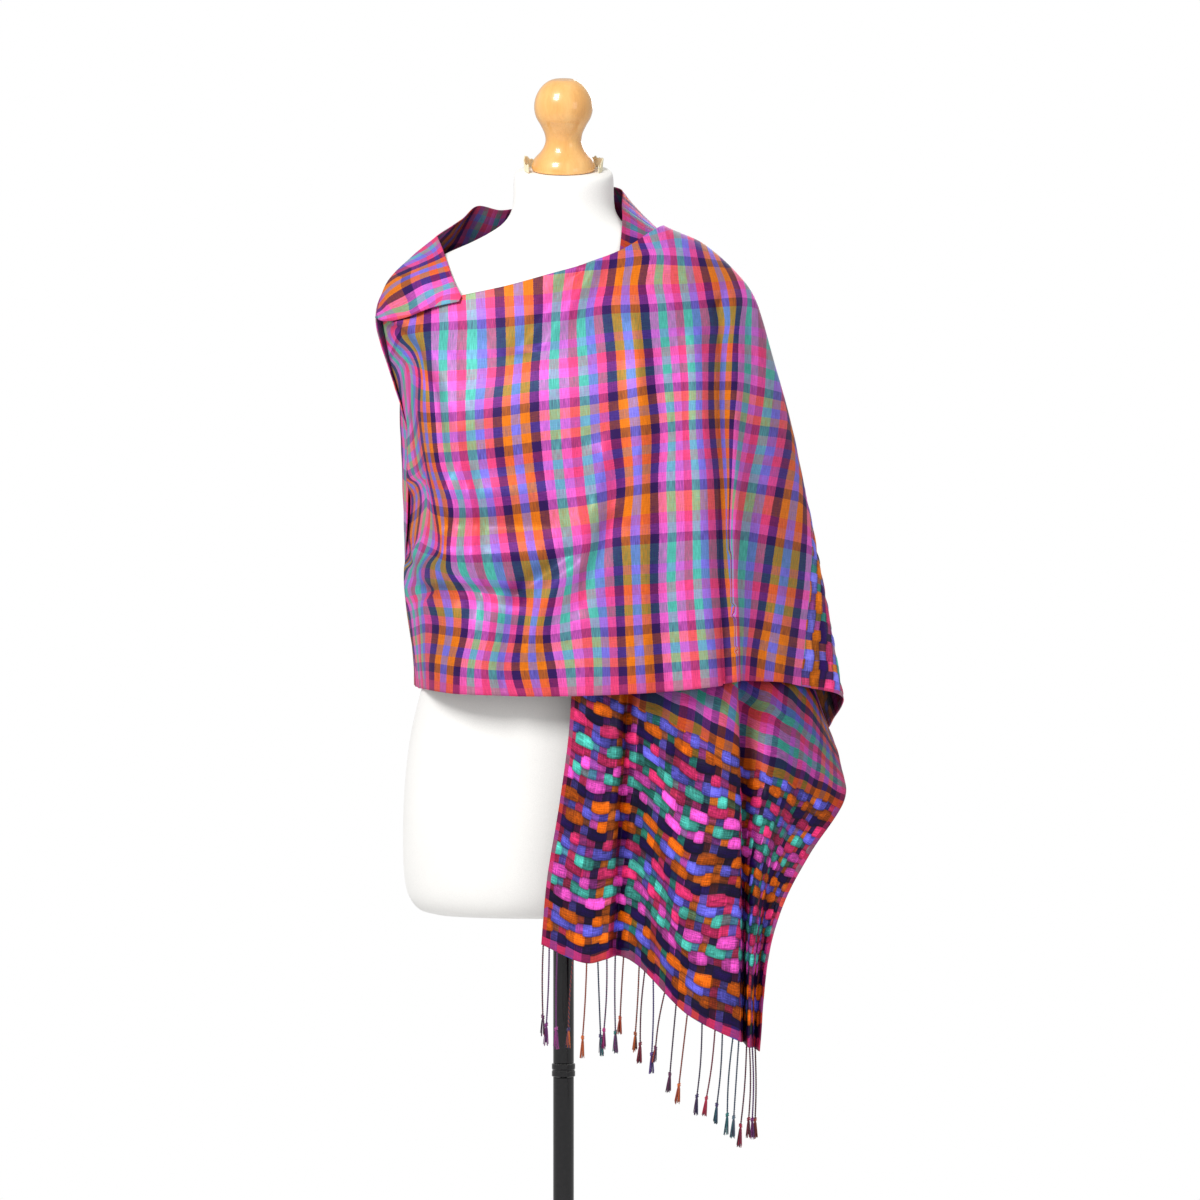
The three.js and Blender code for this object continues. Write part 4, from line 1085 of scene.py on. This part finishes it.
def fringe_cord(strands, root, knot, tuft, colours, rng):
    """A two-ply cord from its root in the cloth to its knot, and the loose tuft below the knot."""
    root, knot, tuft = (np.array(p) for p in (root, knot, tuft))
    length = np.linalg.norm(knot - root)
    steps = int(length / TWIST * 7)
    share = np.linspace(0, 1, steps)[:, None]
    sway = rng.uniform(-1.6, 1.6) * MM
    path = root + (knot - root) * share
    path[:, 0:1] += sway * np.sin(math.pi * share)
    path[:, 1:2] += 0.6 * sway * np.sin(2 * math.pi * share)
    turn = share * length / TWIST * 2 * math.pi + rng.uniform(0, 6)
    ring = np.concatenate([np.cos(turn), np.sin(turn), 0 * turn], axis=1)
    dark, light = (linear(c) for c in CORD_COLOURS[colours[0]])
    deep, second = (linear(c) for c in CORD_COLOURS[colours[-1]])
    strands.add(path + ring * PLY * 0.9, PLY, dark)
    strands.add(path - ring * PLY * 0.9, PLY, deep)
    around = np.linspace(0, 1, 26)[:, None]
    turn = around * 2 * math.pi * 1.8 + rng.uniform(0, 6)
    coil = np.concatenate([np.cos(turn), 0.9 * np.sin(turn), 0 * turn], axis=1) * 1.15 * MM
    coil[:, 2:3] -= (around - 0.5) * 3.4 * MM
    strands.add(knot + coil, 0.85 * MM, light, 6, upright=False)
    fall = tuft - knot
    for k in range(24):
        angle = rng.uniform(0, 2 * math.pi)
        spread = rng.uniform(0.3, 1.0) * 2.6 * MM
        reach = rng.uniform(0.82, 1.04)
        t = np.linspace(0, 1, 6)[:, None]
        aim = np.array([math.cos(angle), 0.7 * math.sin(angle), 0]) * spread
        thread = knot + fall * t * reach + aim * (0.3 + 0.85 * t ** 0.8) * np.minimum(1, t * 4 + 0.25)
        tint = (dark, light, dark, second)[k % 4]
        strands.add(thread, 0.42 * MM, tint, 3)


def back_to(place_x, place_z, y):
    """The point at depth y that shows at a place (x, z) of the plane through the pole."""
    size = (y - EYE[1]) / -EYE[1]
    return (place_x * size, y, EYE[2] + (place_z - EYE[2]) * size)


RIDGE_X = 188                   # cords from here on, in millimetres across, hang from the pleats
PLEATS_FROM = 130               # the sheet's column where the pleats start

# the hanging end's cords: root across, its tuft's end across and up, colours of the two plies
FRONT_CORDS = [
    # root x, tuft x, tuft z, colours
    (-22, -22, 567, "plum", "crimson"),
    (-15, -19, 557, "purple"),
    (-6, -8, 553, "orchid"),
    (10, 4, 554, "navy", "orange"),
    (25, 19, 544, "orange"),
    (37, 40, 546, "navy", "teal"),
    (46, 42, 553, "magenta", "teal"),
    (55, 55, 549, "teal", "orchid"),
    (64, 59, 569, "rust"),
    (79, 75, 550, "brown", "orange"),
    (86, 80, 538, "maroon"),
    (96, 93, 527, "violet"),
    (108, 95, 539, "plum", "rust"),
    (120, 111, 507, "plum"),
    (132, 120, 495, "orange", "rust"),
    (146, 140, 483, "navy", "plum"),
    (161, 149, 482, "crimson"),
    (169, 161, 474, "navy", "teal"),
    (179, 172, 462, "teal"),
    (186, 179, 459, "grey", "teal"),
    (193, 186, 449, "crimson", "plum"),
    (197, 196, 459, "maroon"),
    (200, 200, 458, "purple"),
    (203, 203, 458, "rust", "plum"),
]


def front_fringe():
    rng = random.Random(4)
    strands = Strands()
    edge = lower[0]
    seen = from_front(edge)
    for root_x, tuft_x, tuft_z, *colours in FRONT_CORDS:
        first = PLEATS_FROM if root_x >= RIDGE_X else 0
        last = PLEATS_FROM if root_x < RIDGE_X else len(seen)
        k = first + int(np.argmin(np.abs(seen[first:last, 0] - root_x * MM)))
        root = edge[k] + np.array([0, 0, 0.5 * MM])
        tuft = back_to(tuft_x * MM, tuft_z * MM, root[1])
        knot = root + (np.array(tuft) - root) * KNOT_AT
        fringe_cord(strands, root, knot, tuft, colours, rng)
    return strands.mesh("front_fringe_cords", "front_fringe")


def back_fringe():
    rng = random.Random(9)
    strands = Strands()
    edge = upper[-1]
    run = np.concatenate([[0], np.cumsum(np.linalg.norm(np.diff(edge, axis=0), axis=1))])
    count = int(run[-1] / CORD_SPACING)
    names = list(CORD_COLOURS)
    for k in range(count):
        place = (k + 0.5 + rng.uniform(-0.12, 0.12)) / count * run[-1]
        root = np.array([np.interp(place, run, edge[:, axis]) for axis in range(3)])
        drop = rng.uniform(88, 96) * MM
        tuft = root + np.array([rng.uniform(-3, 2) * MM, rng.uniform(0, 2) * MM, -drop])
        knot = root + (tuft - root) * KNOT_AT
        colours = [names[(k * 5) % len(names)], names[(k * 5 + k % 3) % len(names)]]
        fringe_cord(strands, root, knot, tuft, colours, rng)
    return strands.mesh("back_fringe_cords", "back_fringe")


front_cords = front_fringe()
back_cords = back_fringe()


# ---------- floor, light and camera ----------
def studio():
    bm = bmesh.new()
    bmesh.ops.create_circle(bm, cap_ends=True, segments=96, radius=2.4)
    mesh = bpy.data.meshes.new("pale_floor")
    bm.to_mesh(mesh)
    bm.free()
    floor = bpy.data.objects.new("pale_floor", mesh)
    bpy.context.collection.objects.link(floor)
    f = Finish("pale_floor_paint", roughness=0.9)
    f.shader.inputs["Base Color"].default_value = (0.92, 0.92, 0.92, 1)
    mesh.materials.append(f.material)

    world = bpy.data.worlds.new("studio")
    bpy.context.scene.world = world
    world.use_nodes = True
    tree = world.node_tree
    plain = tree.nodes["Background"]
    plain.inputs["Color"].default_value = (1, 1, 1, 1)
    plain.inputs["Strength"].default_value = WORLD_LIGHT
    seen = tree.nodes.new("ShaderNodeBackground")
    seen.inputs["Color"].default_value = (1, 1, 1, 1)
    seen.inputs["Strength"].default_value = 1.0
    path = tree.nodes.new("ShaderNodeLightPath")
    both = tree.nodes.new("ShaderNodeMixShader")
    tree.links.new(path.outputs["Is Camera Ray"], both.inputs[0])
    tree.links.new(plain.outputs[0], both.inputs[1])
    tree.links.new(seen.outputs[0], both.inputs[2])
    tree.links.new(both.outputs[0], tree.nodes["World Output"].inputs["Surface"])

    for name, place, aim, power, size in LAMPS:
        lamp = bpy.data.lights.new(name, "AREA")
        lamp.energy = power
        lamp.shape = "RECTANGLE"
        lamp.size, lamp.size_y = size
        obj = bpy.data.objects.new(name, lamp)
        bpy.context.collection.objects.link(obj)
        obj.location = place
        obj.rotation_euler = (Vector(aim) - Vector(place)).to_track_quat("-Z", "Y").to_euler()


WORLD_LIGHT = 0.52
LAMPS = [
    # name, place, aim, power, size
    ("key_softbox", (-1.3, -2.2, 3.0), (0, 0, 1.3), 72, (1.0, 1.2)),
    ("fill_softbox", (2.6, -2.6, 1.5), (0, 0, 1.0), 10, (1.2, 1.6)),
    ("rear_softbox", (0.8, 2.6, 2.4), (0, 0, 1.1), 14, (1.2, 1.2)),
]
studio()

camera = bpy.data.cameras.new("camera")
camera.sensor_width = 36
camera.lens = 127.36
camera.shift_x = 0.0304
camera.dof.use_dof = False
viewer = bpy.data.objects.new("camera", camera)
bpy.context.collection.objects.link(viewer)
viewer.location = EYE
viewer.rotation_euler = (math.pi / 2, 0, 0)
bpy.context.scene.camera = viewer
bpy.context.scene.view_settings.view_transform = "Standard"
